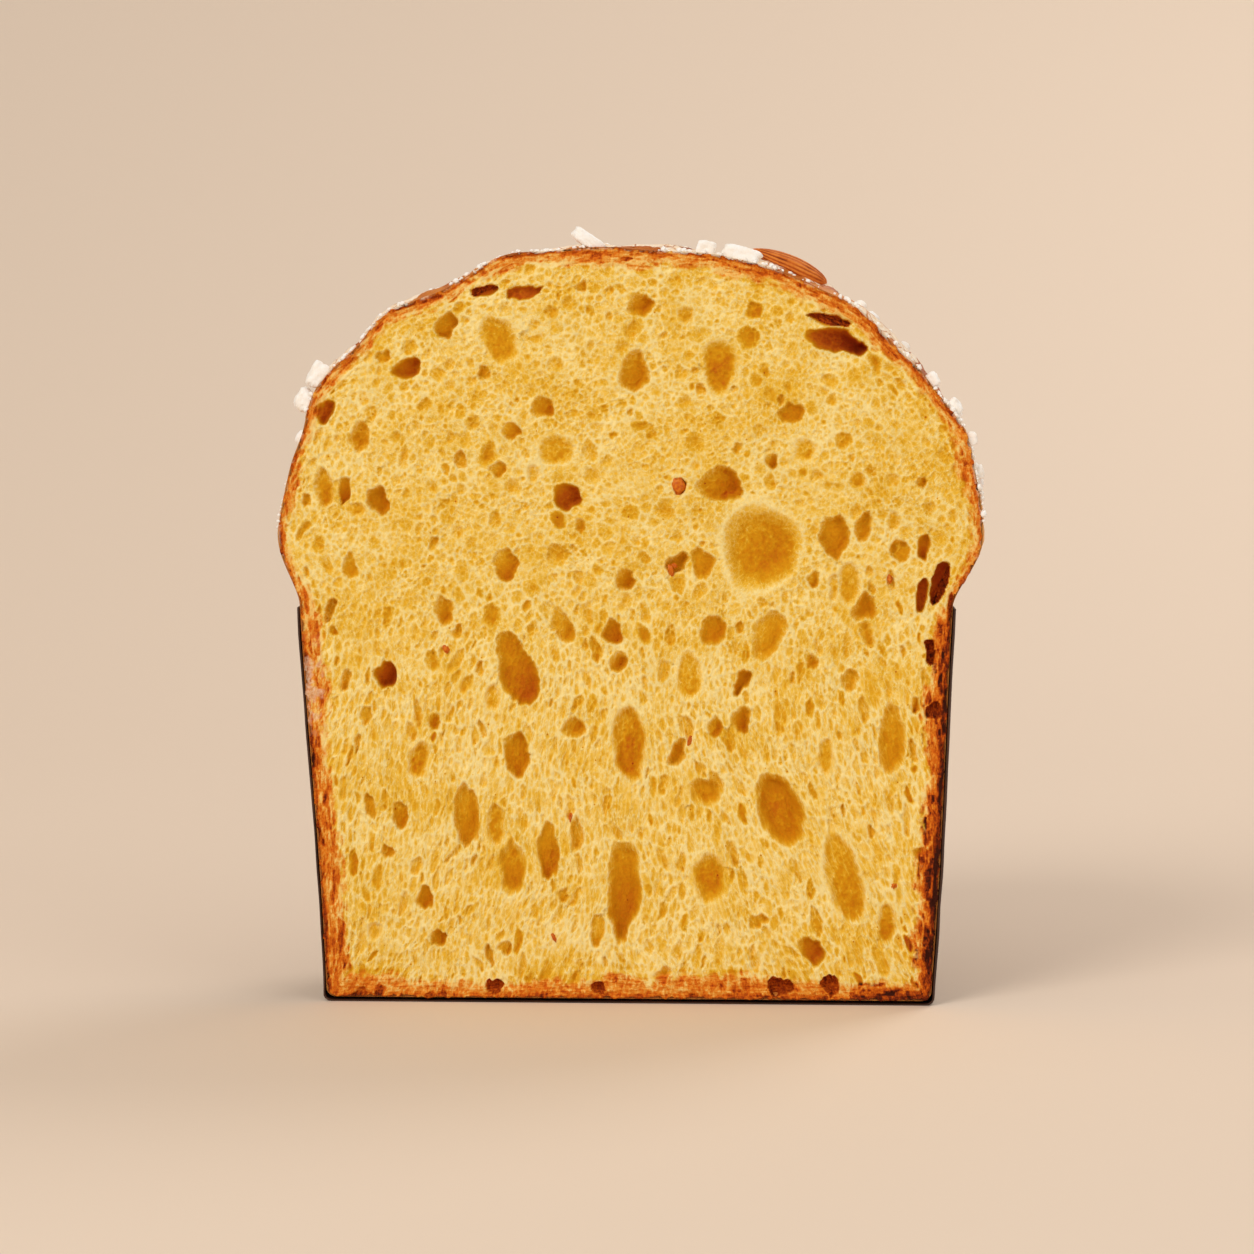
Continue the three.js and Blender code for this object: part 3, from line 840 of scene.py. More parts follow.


# A cell's values: depth, how wide its wall slopes, tone, how open it is (2 for a tear in the crust), how much
# deeper and darker with painted shade it is low on its right, its place, and how softly its rim rolls in
def crumbCell(radius, width, i, j):
    x, z = atX[i, j], atZ[i, j]
    lobes = (rng.uniform(0.02, 0.1), rng.uniform(0.0, 0.08), rng.uniform(0, 6))
    nearCrust = x > 55 and z < 125 and fromEdge[i, j] < 14
    if rng.random() < 0.035:
        return (radius * rng.uniform(0.7, 1.2), 0.7, rng.uniform(-0.03, 0.07), 0.3, 0, x, z, 0.2), lobes
    depth = radius * rng.uniform(0.15, 0.6)
    tint = 0.045 * (rng.gamma(1.6, 0.8) - 1)
    if nearCrust and rng.random() < 0.13:
        tint = rng.uniform(0.12, 0.4)
    lean = rng.uniform(0.1, 0.4) / radius
    wall = width * rng.uniform(0.6, 1.1)
    openness = 0.5 if radius > 1.1 else 0
    return (depth, wall, tint, openness, lean, x, z, 0.9 * rng.random()), lobes


def fineCell(radius, width, i, j):
    return (1, 1, rng.normal(0, 1), 0, 0, 0, 0, 0), (0.05, 0.03, rng.uniform(0, 6))


def placeHoles(foam, holes, kind):
    for x, z, w, h, turn, depth in holes:
        lobes = (rng.uniform(0.03, 0.1), rng.uniform(0.03, 0.09), rng.uniform(0, 6))
        tall = h >= w
        width, ratio = (w / 2, h / w) if tall else (h / 2, w / h)
        angle = math.radians(90 + turn if tall else turn)
        wall = {"open": min(w, h) * rng.uniform(0.14, 0.34), "soft": min(w, h) * 0.3, "tear": 0.5}[kind]
        tone = {"open": 0.0, "soft": -0.07, "tear": 0.3}[kind] + rng.uniform(-0.05, 0.06)
        tone += crumb["holeToneShifts"].get((x, z), 0)
        lean = {"open": rng.uniform(0.3, 0.8), "soft": rng.uniform(0.1, 0.5), "tear": 0}[kind] / max(w, h) * 2
        openness = 2.0 if kind == "tear" else 1.0
        softness = {"open": rng.uniform(0, 0.5), "soft": 1.0, "tear": 0}[kind]
        values = (depth * crumb["holeDepth"], wall, tone, openness, lean, x, z, softness)
        foam.place(x, z, width, ratio, angle, values, lobes, 0.85, 0.15)


def drawFoam():
    main = Foam()
    placeHoles(main, crumb["softBubbles"], "soft")
    placeHoles(main, crumb["openHoles"], "open")
    placeHoles(main, crumb["crustTears"], "tear")
    spots = np.argwhere(fromEdge > 0.2)
    main.fill(crumb["sizes"], spots, 1.0, crumbCell)
    fine = Foam()
    fine.fill(crumb["fineSizes"], spots, 1.3, fineCell)
    return main, fine


# How wide the crust is on the cut face, by the place on the outline
def crustWidth():
    band = crumb["band"]
    x, z = edgeSpot[..., 0], edgeSpot[..., 1]
    wall = smooth(112, 98, z) * smooth(1.5, 4, z)
    foot = smooth(4, 1.5, z)
    width = band["width"] + band["wall"] * wall + band["foot"] * foot
    width += band["lowWall"] * smooth(60, 20, z) * wall + band["bulge"] * smooth(114, 130, z)
    width += band["top"] * smooth(190, 198, z)
    rim = np.where(x < 0, band["leftRim"], band["rightRim"])
    width += rim * np.exp(-(((z - band["rimHeight"]) / 13) ** 2))
    onRight = band["rightBulge"] * smooth(120, 150, z) + band["rightWall"] * wall
    width += np.where(x > 0, onRight, 0)
    waves = zip((cloudA, cloudB), band["uneven"])
    return width * (1 + sum(share * cloud(edgeWay / run, edgeWay * 0) for cloud, (share, run) in waves))


def crumbRelief():
    relief = crumb["relief"]
    main, fine = drawFoam()
    print("foam drawn:", len(main.cells), "cells")
    values = np.array(main.cells)
    deep, wall, tint, openness, lean, cellX, cellZ, softness = (values[main.nearCell, k] for k in range(8))
    # how far from the wall between two cells, with the corners where three meet filled
    web = roundLess((main.next - main.near) / 2, relief["cornerFill"] - main.near, relief["cornerRounding"])
    web = np.clip(web, 0, 3)
    most = relief["mostLean"]
    toward = np.clip(lean * ((atX - cellX) * 0.8 - (atZ - cellZ) * 0.6), -most, most)
    deep = deep * (1 + toward)                              # holes run deeper low on their right
    deep = np.where(main.near > 0.3, np.minimum(deep, 0.5), deep)
    thickness = crumb["web"] * (1 + 0.8 * cloudA(atX / 3.1, atZ / 3.1))
    within = np.where(softness == 1, -main.near, web)       # a bubble's slope runs to its middle
    reach = np.clip((within - thickness) / np.maximum(wall, relief["leastWall"]), 0, 1)
    bowl = 1 - (1 - reach) ** relief["bowlPower"]
    depth = deep * mix(bowl, reach * reach * (3 - 2 * reach), softness)
    # some walls lie lower than the cut, as a number worked out for each pair of cells says
    one, two = main.nearCell + 1, main.nextCell + 1
    pair = np.abs(np.sin(one * 12.9898 + two * 78.233) * 43758.5453)
    pair = (pair + np.abs(np.sin(two * 12.9898 + one * 78.233) * 43758.5453)) % 1
    above = relief["sunkFrom"]
    sink = np.clip((pair - above) / (1 - above), 0, 1) ** 1.3 * relief["wallSink"]
    shallow = np.minimum(values[main.nearCell, 0], values[main.nextCell, 0])
    swells = relief["swellSink"] * (1 + cloudB(atX / 4.3, atZ / 4.3))
    sink = sink * np.clip(shallow / 1.2, 0.2, 1) + swells
    depth = np.maximum(depth, sink)
    # thin films and small cells over and inside the larger ones
    fineWeb = np.minimum((fine.next - fine.near) / 2, 1)
    film = np.exp(-((fineWeb / relief["filmWidth"]) ** 2))
    fineTint = np.array([cell[2] for cell in fine.cells])[fine.nearCell]
    cover = 0.35 + 0.65 * smooth(-0.2, 0.5, cloudC(atX / 5, atZ / 5))
    isOpen = (openness > 0.9) & (main.near < 0.1)
    isTear = openness > 1.5
    dimples = cover * relief["filmDepth"] * (1 - film) * np.clip(fineWeb / 0.4, 0, 1)
    depth = depth + dimples * np.where(isOpen, 0.6, 1)
    depth = depth + relief["roughness"] * cloudD(atX / 0.6, atZ / 0.6)
    strand = 0.6 * np.exp(-((web / 0.24) ** 2)) + 0.55 * np.exp(-web / 0.5)
    strand = strand * (1 - smooth(0.6, 1.6, sink)) * (0.8 + 0.5 * cloudC(atX / 6 + 4, atZ / 6))
    broad, small = relief["patchTones"]
    patch = broad * cloudA(atX / 9, atZ / 9) + small * cloudB(atX / 4, atZ / 4)
    # painted shade: the dough is painted darker the deeper it lies, for the shade inside its cells
    sunk = 1 - np.exp(-np.maximum(depth - 0.1, 0) / relief["depthShadeReach"])
    tone = relief["tone"] + relief["depthShade"] * sunk + tint * smooth(0.05, 0.6, web)
    tone = tone + patch - relief["strandTone"] * strand
    tone = tone - relief["filmTone"] * film * cover * np.where(isOpen, 0.5, 1)
    tone = tone + relief["fineTone"] * fineTint * cover
    # holes are painted darkest in the middle and palest at the rim, a painted shade, mottled where their
    # floor is bare
    mottle = 0.5 * cloudA(atX / 1.1, atZ / 1.4) + 0.5 * cloudB(atX / 0.6, atZ / 0.6)
    holeShade = relief["holeShade"] + relief["holeMottle"] * mottle
    tone = tone + np.where(isOpen, holeShade * (reach**2 - 0.45), 0)
    # a painted highlight on a bubble's rim, a pale band just inside it, and painted shade on its floor,
    # darker to its middle
    rimHighlight = np.exp(-(((main.near + 1) / 0.7) ** 2))        # a pale lip just inside a bubble's rim
    floorShade = relief["bubbleShade"] * reach * (1 + relief["bubbleMottle"] * mottle)
    tone = tone + np.where(isOpen & (softness == 1), floorShade - relief["lipHighlight"] * rimHighlight, 0)
    # painted shade: cells and holes darker low on their right and paler high on their left, as if lit from
    # the upper left
    leanShade = np.where(isOpen, relief["openLeanShade"], relief["leanShade"])
    tone = tone + leanShade * toward * smooth(0, 0.5, reach)
    # the band of crust: layers along the edge, darker outside, with tears
    band = crustWidth()
    under = np.exp(-np.maximum(fromEdge - band, 0) / relief["underReach"]) * smooth(4, 8, atZ)
    tone = tone + under * (relief["underTone"] + relief["underLayers"] * cloudA(edgeWay / 5, fromEdge / 0.7))
    ragged = 0.8 * cloudC(edgeWay / 2.2, fromEdge / 1.1) + 0.6 * cloudD(edgeWay / 0.9, fromEdge / 0.6)
    crust = smooth(band + 1.1, band - 0.9, fromEdge + ragged + 0.8 * strand)
    layers = 0.5 * cloudA(edgeWay / 4, fromEdge / 0.5) + 0.5 * cloudB(edgeWay / 1.8, fromEdge / 0.35)
    inside = np.maximum(fromEdge, 0)
    isTear = isTear & (main.near < 0)
    crustDepth = relief["crustDepth"] + relief["crustLayers"] * layers
    crustDepth = crustDepth + relief["crustHoles"] * np.clip(depth, 0, 2)
    depth = np.where(isTear, depth, mix(depth, crustDepth, crust))
    depth = np.maximum(depth, 0) * smooth(0, 0.7, inside)
    x, z = edgeSpot[..., 0], edgeSpot[..., 1]
    walls, foot = smooth(108, 92, z), smooth(4, 1.5, z)
    onRight = x > 60
    outer = np.exp(-((inside / np.where(onRight, 1.3 + walls, 1.3)) ** 2))
    # painted shade: dark crevices on the crust band, where shade would fill its cavities, most of them on the
    # right wall
    crevice = smooth(0.25, 0.5, cloudB(edgeWay / 3.5, fromEdge / 0.9) + 0.3 * cloudC(edgeWay, fromEdge))
    char = walls * (0.05 + 0.1 * smooth(60, 5, z)) + np.where(onRight, relief["rightChar"], 0) * walls
    char = char - relief["footChar"] * foot
    shade = relief["shade"] + 0.9 * (tone - 0.2) + relief["layerShade"] * layers * (1 - 0.6 * foot)
    shade = shade + relief["outerShade"] * outer + char * (0.4 + outer)
    shade = shade - relief["innerShade"] * smooth(band - 2, band, fromEdge)
    shade = shade + crevice * np.where(onRight, relief["rightCreviceShade"], relief["creviceShade"]) * walls
    # the tears are painted dark: their crust's own dark colour and painted shade in the hollow, a little less
    # of it low down
    shade = np.where(isTear, relief["tearShade"] + 0.1 * smooth(8, 20, atZ), shade)
    crust = np.where(isTear & (fromEdge < band + 3), 1, crust)
    return depth, tone, crust, shade, powderCover()


# Dried glaze and sugar on the crust: pale lumps low on the left wall, and specks along the dome's edge
def powderCover():
    x, z = edgeSpot[..., 0], edgeSpot[..., 1]
    lumps = smooth(-0.05, 0.2, cloudA(atX / 2.6, atZ / 2.2) + 0.4 * cloudB(atX / 0.9, atZ / 0.9))
    patch = np.exp(-(((z - 84) / 11) ** 4)) * (x < 0) * smooth(5.5, 4.5, fromEdge) * lumps
    specks = smooth(0.1, 0.35, cloudC(edgeWay / 1.3, edgeWay * 0) + 0.5 * cloudD(edgeWay / 5, edgeWay * 0))
    edge = smooth(0.7, 0.3, fromEdge) * smooth(112, 122, z) * specks
    return np.maximum(0.75 * patch, edge)


# A patch of faces' border, point after point
def borderOf(quads):
    sides = np.concatenate([quads[:, [a, (a + 1) % 4]] for a in range(4)])
    count = quads.max() + 1
    isLone = ~np.isin(sides[:, 0] * count + sides[:, 1], sides[:, 1] * count + sides[:, 0])
    follows = dict(sides[isLone].tolist())
    border = [next(iter(follows))]
    while follows[border[-1]] != border[0]:
        border.append(follows[border[-1]])
    return np.array(border)


def frontNormals(points, quads):
    flat = np.cross(points[quads[:, 2]] - points[quads[:, 0]], points[quads[:, 3]] - points[quads[:, 1]])
    total = [np.bincount(quads.ravel(), np.repeat(flat[:, a], 4), len(points)) for a in range(3)]
    total = np.stack(total, -1)
    return total / np.linalg.norm(total, axis=1, keepdims=True)


# The front of the cut face: its faces with the column that each lies in, and the grid points that they use
def frontFaces():
    keep = fromEdge > 0.35 * crumb["spacing"]
    cell = keep[:-1, :-1] & keep[1:, :-1] & keep[:-1, 1:] & keep[1:, 1:]
    used = np.zeros(keep.shape, bool)
    for di, dj in ((0, 0), (1, 0), (0, 1), (1, 1)):
        used[di:used.shape[0] - 1 + di, dj:used.shape[1] - 1 + dj] |= cell
    number = np.full(keep.shape, -1)
    number[used] = np.arange(used.sum())
    i, j = np.nonzero(cell)
    return np.stack([number[i, j], number[i + 1, j], number[i + 1, j + 1], number[i, j + 1]], -1), i, used


# The cut face as slabs side by side. Each is closed, with sides that go back under the crust, and has the
# whole face's normals where it meets the next one, so that no joint shows.
def crumbSlabs(depth, layers):
    quads, column, used = frontFaces()
    isEdge = np.zeros(used.sum(), bool)
    isEdge[borderOf(quads)] = True
    # points on the face's edge move out to the loaf's edge, which is a little torn
    way, inside, inward = edgeWay[used], fromEdge[used], edgeInward[used]
    torn = 0.3 * (1 + cloudC(way / 1.7, way * 0)) + 0.28 * cloudD(way / 0.8, way * 0)
    outward = np.where(isEdge, inside - torn, 0)[:, None] * -inward
    front = np.where(isEdge, 0, depth[used])
    points = np.stack([atX[used] + outward[:, 0], cutY + front, atZ[used] + outward[:, 1]], -1)
    normals = frontNormals(points, quads)
    cuts = column[np.linspace(0, len(column) - 1, crumb["slabs"] + 1).astype(int)]
    cuts[-1] += 1
    slabs = []
    for n, (left, right) in enumerate(zip(cuts, cuts[1:]), 1):
        own, faces = np.unique(quads[(column >= left) & (column < right)], return_inverse=True)
        faces = faces.reshape(-1, 4)
        border = borderOf(faces)
        rim = own[border]
        # behind the border the sides go back in two steps, each drawn in a little
        rings = []
        for share, inset in crumb["sideSteps"]:
            ring = points[rim]
            ring[:, [0, 2]] += np.clip(inset - inside[rim], 0, inset)[:, None] * inward[rim]
            ring[:, 1] = np.maximum(cutY + share * crumb["backDepth"], points[rim, 1] + share)
            rings.append(ring)
        ids = [border, len(own) + np.arange(len(rim)), len(own) + len(rim) + np.arange(len(rim))]
        strips = []
        for near, far in zip(ids, ids[1:]):
            strips.append(np.stack([np.roll(near, -1), near, far, np.roll(far, -1)], -1))
        back = ids[-1][::-1].reshape(1, -1)
        allPoints = np.concatenate([points[own], *rings])
        piece = storeMesh(f"crumb_{n}", allPoints, [faces, *strips, back], len(faces))
        held = np.zeros(allPoints.shape)
        joint = border[~isEdge[rim]]
        held[joint] = normals[own[joint]]
        piece.data.normals_split_custom_set_from_vertices(held.tolist())
        for layer, fields in layers.items():
            storeValues(piece, layer, *(v[used][np.concatenate([own, rim, rim])] for v in fields))
        slabs.append(piece)
    return slabs


def crumbFinish():
    pattern = crumb["pattern"]
    material, shader, kit = startFinish("crumb", Roughness=0.8, Specular_IOR_Level=0.12)
    tone, crust, shade, powder = readStored(kit, "cut")
    place = objectPlace(kit)
    grain = noise(kit, place, 1500, 3)
    blush = noise(kit, place, 60, 2)
    # hairs of dough: the lines along which a stretched noise passes its middle
    strands = readPlace(kit, "strand")
    coarseHair = noise(kit, strands, 420, 3, 0.6)
    fineHair = noise(kit, strands + blush * 0.02, 900, 2, 0.6)
    hairs = 1 - (coarseHair - 0.5).size().steps(0, 0.03) + (1 - (fineHair - 0.5).size().steps(0, 0.05)) * 0.7
    bubbles = netEdges(kit, strands + grain * 0.0003, 800)
    rims = 1 - bubbles.steps(0, 0.09)
    # painted shadow: tiny dark dots where pores would be
    poreShadows = 1 - kit.node("ShaderNodeTexVoronoi", {}, {"Vector": place, "Scale": 200}).steps(0.03, 0.06)
    solid = 1 - tone.steps(0.4, 0.56)
    lines = hairs * pattern["hairs"] + rims * pattern["rims"] - bubbles.steps(0.1, 0.4) * pattern["bubbles"]
    drawn = tone - lines * solid + poreShadows * pattern["poreShadows"]
    inner = (drawn + (grain - 0.5) * pattern["grain"] + (blush - 0.5) * pattern["blush"]).ramp([
        (0, (252, 227, 152)), (0.12, (247, 210, 114)), (0.24, (239, 191, 70)), (0.34, (231, 175, 40)),
        (0.46, (219, 154, 16)), (0.58, (208, 134, 6)), (0.74, (194, 98, 10)), (0.92, (160, 56, 8)),
    ])
    # streaks along the crust
    way = readPlace(kit, "way")
    layers = noise(kit, way.stretched(0.25, 1.5, 1), 1000, 4, 0.65)
    threads = noise(kit, way.stretched(0.6, 2.2, 1) + blush * 0.01, 1000, 3, 0.6)
    baked = shade + (layers - 0.5) * pattern["crustLayers"] + (threads - 0.5) * pattern["crustThreads"]
    baked = baked + (grain - 0.5) * pattern["crustGrain"] - hairs * pattern["crustHairs"]
    # painted shade: the middles of tiny cells in the crust darker, as shaded pits
    baked = baked + bubbles.steps(0.2, 0.42) * pattern["crustPitShade"] - 0.04
    outer = baked.ramp([
        (0, (248, 200, 112)), (0.16, (238, 160, 60)), (0.32, (226, 126, 28)), (0.48, (208, 96, 12)),
        (0.66, (162, 62, 6)), (0.82, (112, 36, 5)), (1, (60, 20, 6)),
    ])
    sugared = (grain * 0.6 + threads * 0.4).ramp([
        (0.34, (176, 92, 48)), (0.46, (232, 174, 128)), (0.66, (250, 224, 194)),
    ])
    surface = inner.blend(crust, outer).blend(powder, sugared)
    connect(kit, surface, shader, "Base Color")
    bumpInto(kit, shader, grain + hairs * 0.5 + layers * crust * 2, 0.16, 0.8)
    return material


def makeCrumb():
    depth, *values = crumbRelief()
    across, along = strandField()
    slabs = crumbSlabs(depth, {
        "cut": values,
        "way": (edgeWay * mm, fromEdge * mm, edgeWay * 0),
        "strand": (across * mm, along * mm, along * 0),
    })
    finish = crumbFinish()
    for piece in slabs:
        finishPiece(piece, "bread", finish, "loaf")
    print("cut face has", [len(piece.data.polygons) for piece in slabs], "faces")


makeCrumb()
print("cut face made")


# The crust: the loaf's whole skin behind the cut, wrinkled, with patches of sugar glaze

crust = {
    "around": 720,
    "rows": (0, 4, 9, 27, 57, 200),     # rows of the sphere at t = -1, 0, 1, 2, 3 and 4
    "ballRadius": 100,
    "behindCut": 0.35,
    "fadeOver": 5,
    "insets": ((3, 0.985), (11, 0.97)),  # steps back from the cut, each with its share of the size
    "wrinkles": ((0.02, 1.5), (0.007, 0.8), (0.0024, 0.36)),      # size in metres, height in millimetres
    "glazeLift": 0.55,
}


# The skin's points on one row. Below t = 0 they close the flat foot.
def skinOf(angle, row):
    t = float(np.interp(row, crust["rows"], (-1, 0, 1, 2, 3, 4)))
    if t < 0:
        flat = skinPoint(angle, 0)
        flat[:, 0] *= t + 1
        flat[:, 1] = mix(axisY, flat[:, 1], t + 1)
        return flat
    return skinPoint(angle, t)


def makeCrustSkin():
    rows = crust["rows"][-1]
    turns = np.linspace(0, math.pi, rows + 1)
    ballRadius = crust["ballRadius"]
    line = [(ballRadius * math.sin(turn), -ballRadius * math.cos(turn)) for turn in turns]
    line[-1] = (0, ballRadius)
    piece, row, angle = turnProfile("crust", line, crust["around"])
    points = readPoints(piece)
    for r in range(rows + 1):
        own = row == r
        points[own] = skinOf(angle[own], r)
    writePoints(piece, points * mm)
    front = (cutY + crust["behindCut"]) * mm
    startEdit(piece)
    bpy.ops.mesh.bisect(plane_co=(0, front, 0), plane_no=(0, 1, 0), clear_inner=True)
    for back, share in crust["insets"]:
        bpy.ops.mesh.extrude_edges_move(TRANSFORM_OT_translate={"value": (0, back * mm, 0)})
        bpy.ops.transform.resize(value=(share, 1, share), center_override=(0, front, 0.1))
    bpy.ops.mesh.edge_face_add()
    bpy.ops.object.mode_set(mode="OBJECT")
    tidyNormals(piece)
    return piece


# 0 on the cut edge and inside it, 1 on the open skin
def openSkin(points):
    rim = loaf["wallTop"]
    fade = smooth(crust["behindCut"], crust["fadeOver"], points[:, 1] / mm - cutY)
    radius = np.hypot(points[:, 0], points[:, 1] - axisY * mm) / mm
    angle = np.arctan2(points[:, 1] - axisY * mm, points[:, 0])
    z = points[:, 2] / mm
    low = mouldRadius(angle, np.minimum(z, loaf["mouldHeight"])) - 3 * loaf["skinInset"]
    return fade * (radius > low - 400 * smooth(115, 135, z)) * smooth(rim - 1, rim + 6, z)


def wrinkleCrust(piece):
    weights = openSkin(readPoints(piece))
    group = piece.vertex_groups.new(name="open")
    for level in range(1, 11):
        own = np.nonzero(np.rint(weights * 10) == level)[0]
        group.add([int(i) for i in own], level / 10, "REPLACE")
    for n, (size, height) in enumerate(crust["wrinkles"]):
        clouds = bpy.data.textures.new(f"wrinkle{n}", "CLOUDS")
        clouds.noise_scale = size
        clouds.noise_depth = 2
        push = piece.modifiers.new(f"wrinkle{n}", "DISPLACE")
        push.texture = clouds
        push.texture_coords = "LOCAL"
        push.vertex_group = "open"
        push.strength = height * mm * 2
        push.mid_level = 0.5
    applyAll(piece)
    piece.vertex_groups.clear()


# Where the dried glaze lies on the dome, 0 to 1
def glazeCover(points):
    broad, middle, small = cloudSpace(5), cloudSpace(6), cloudSpace(7)
    p = points / mm
    patch = broad(p / 17) + 0.7 * middle(p / 7) + 0.35 * small(p / 2.5)
    height = smooth(118, 150, p[:, 2])
    return smooth(0.05, 0.45, patch + 0.25 * height) * height


def crustFinish():
    material, shader, kit = startFinish("crust", Specular_IOR_Level=0.25)
    glaze, bake, crevice, _ = readStored(kit, "skin")
    place = objectPlace(kit)
    broad = noise(kit, place, 70, 4, 0.6)
    fine = noise(kit, place, 900, 4, 0.6)
    heat = bake + (broad - 0.5) * 0.5 + (fine - 0.5) * 0.25 + crevice * 0.2
    base = heat.ramp([
        (0, (234, 172, 92)), (0.25, (216, 134, 54)), (0.5, (184, 92, 28)), (0.75, (128, 56, 18)),
        (1, (70, 28, 12)),
    ])
    icing = fine.ramp([(0.3, (240, 202, 156)), (0.6, (252, 236, 214))])
    cracks = netEdges(kit, place + broad * 0.004, 140)
    cover = (glaze + (fine - 0.5) * 0.7).steps(0.4, 0.66) * (cracks + broad * 0.1).steps(0.04, 0.1)
    connect(kit, base.blend(cover, icing), shader, "Base Color")
    connect(kit, 0.45 + cover * 0.35 + (fine - 0.5) * 0.3, shader, "Roughness")
    bumpInto(kit, shader, fine + broad * 0.5 + cover * 0.4, 0.6, 0.7)
    return material


def makeCrust():
    piece = makeCrustSkin()
    wrinkleCrust(piece)
    points = readPoints(piece)
    weights = openSkin(points)
    glaze = glazeCover(points)
    lift = glaze * weights * crust["glazeLift"] * mm
    points = points + readRows(piece.data.vertex_normals, "vector") * lift[:, None]
    writePoints(piece, points)
    z = points[:, 2] / mm
    bake = 0.42 + 0.22 * smooth(150, 200, z) - 0.12 * smooth(135, 112, z)
    bake = bake - 0.3 * smooth(12, 2, points[:, 1] / mm - cutY) * smooth(112, 124, z)
    hollows = cloudSpace(8)(points / mm / 3)
    storeValues(piece, "skin", glaze, bake, np.clip(hollows, 0, 1))
    bpy.ops.object.shade_smooth()
    finishPiece(piece, "bread", crustFinish(), "loaf")
    print("crust has", len(piece.data.polygons), "faces")


makeCrust()
print("crust made")


# Almonds on the dome

almond = {
    "length": 22,
    "width": 12.5,
    "thickness": 7.5,
    "sunk": 0.27,
    "flat": 0.86,
    "around": 96,
    "rows": 72,
    "grooves": 17,
    "grooveDepth": 0.5,
    "places": [(5.6, 64.4, 84), (52, 33, 20), (84, 62, 130), (104, 24, 75), (138, 45, 165), (160, 20, 40)],
}


def makeAlmond(n, angle, climb, turn, finish):
    clearSelection()
    bpy.ops.mesh.primitive_uv_sphere_add(segments=almond["around"], ring_count=almond["rows"], radius=1)
    piece = bpy.context.object
    piece.name = piece.data.name = f"almond_skin_{n}"
    ball = readPoints(piece)
    v = 1 - np.arccos(np.clip(ball[:, 2], -1, 1)) / math.pi
    u = np.arctan2(ball[:, 1], ball[:, 0])
    along = -np.cos(v * math.pi)
    reach = np.sin(v * math.pi) * (1 - 0.22 * along - 0.12 * along**2)
    wander = cloudSpace(30 + n)
    lines = np.stack([along * 2.2, np.cos(u) * 2.4, np.sin(u) * 2.4], -1)
    groove = np.sin(u * almond["grooves"] + 1.6 * wander(lines)) * 0.5 + 0.5
    groove = groove**2 * smooth(1, 0.75, np.abs(along)) * (0.6 + 0.4 * wander(lines * 2 + 9))
    dent = 0.35 * wander(lines * 0.8 + 4)
    skin = reach * (1 + (dent - almond["grooveDepth"] * groove) / (almond["width"] / 2))
    points = np.stack([
        along * almond["length"] / 2,
        skin * np.cos(u) * almond["width"] / 2,
        skin * -np.sin(u) * almond["thickness"] / 2 * almond["flat"],
    ], -1)
    c, s = math.cos(math.radians(turn)), math.sin(math.radians(turn))
    points[:, :2] = points[:, :2] @ np.array([[c, s], [-s, c]])
    here, slope, _, out = domeBasis(math.radians(angle), math.radians(climb))
    centre = here + out * almond["thickness"] * (0.5 - almond["sunk"])
    placed = centre + points @ np.stack([np.cross(slope, out), slope, out])
    writePoints(piece, placed * mm)
    tidyNormals(piece)
    storeValues(piece, "groove", groove)
    bpy.ops.object.shade_smooth()
    finishPiece(piece, "almond", finish, f"almond_{n}")


def almondFinish():
    material, shader, kit = startFinish("almond", Roughness=0.7, Specular_IOR_Level=0.18)
    groove, *_ = readStored(kit, "groove")
    place = objectPlace(kit)
    fine = noise(kit, place, 1200, 4, 0.6)
    broad = noise(kit, place, 160, 3)
    # painted shade: the almond darker along its grooves
    heat = groove * 0.7 + (broad - 0.5) * 0.6 + (fine - 0.5) * 0.4 + 0.16
    base = heat.ramp([(0, (232, 144, 58)), (0.3, (206, 104, 30)), (0.6, (148, 64, 18)), (1, (64, 24, 10))])
    connect(kit, base, shader, "Base Color")
    bumpInto(kit, shader, fine + broad, 0.5, 0.7)
    return material


def makeAlmonds():
    finish = almondFinish()
    for n, (angle, climb, turn) in enumerate(almond["places"], 1):
        makeAlmond(n, angle, climb, turn, finish)


makeAlmonds()
print("almonds made")


# Pearl sugar: rods and lumps where the CAD has them, and crumbs of it between

sugar = {
    # grains that stand on the cut edge: x, how far behind the cut, length, thickness, tilt
    "edge": [
        (-10.4, 2.6, 8.8, 3.5, -38), (20.8, 2.8, 4.9, 4, 0), (30.1, 2.8, 9.6, 3.9, 4),
        (-80.6, 3, 7, 4.6, 12), (-84.4, 3.6, 6, 5.2, -15), (80.6, 3, 3.8, 3, 10),
        (85.4, 3.2, 4.4, 3.4, 0), (89.2, 3, 3.6, 2.8, 10), (91.8, 4, 3.8, 2.6, 0),
    ],
    "scattered": 76,
    "scatteredSizes": (2.8, 4.8),
    "rodsAbove": 0.8,       # the share of the scattered grains that are no rods
    "clearOfAlmonds": 0.62,
    "crumbs": 900,
    "crumbSizes": (0.5, 1.7),
    "rim": 520,             # small ones on the cut edge, more of them in some stretches
    "rimSizes": (0.45, 1.5),
}
goldenAngle = math.pi * (3 - math.sqrt(5))


# A ball of triangles to copy: points on the unit sphere and faces
def ballNet(subdivisions):
    clearSelection()
    bpy.ops.mesh.primitive_ico_sphere_add(subdivisions=subdivisions, radius=1)
    ball = bpy.context.object
    points = readPoints(ball)
    points /= np.linalg.norm(points, axis=1, keepdims=True)
    faces = np.array([face.vertices[:] for face in ball.data.polygons])
    bpy.data.objects.remove(ball)
    return points, faces


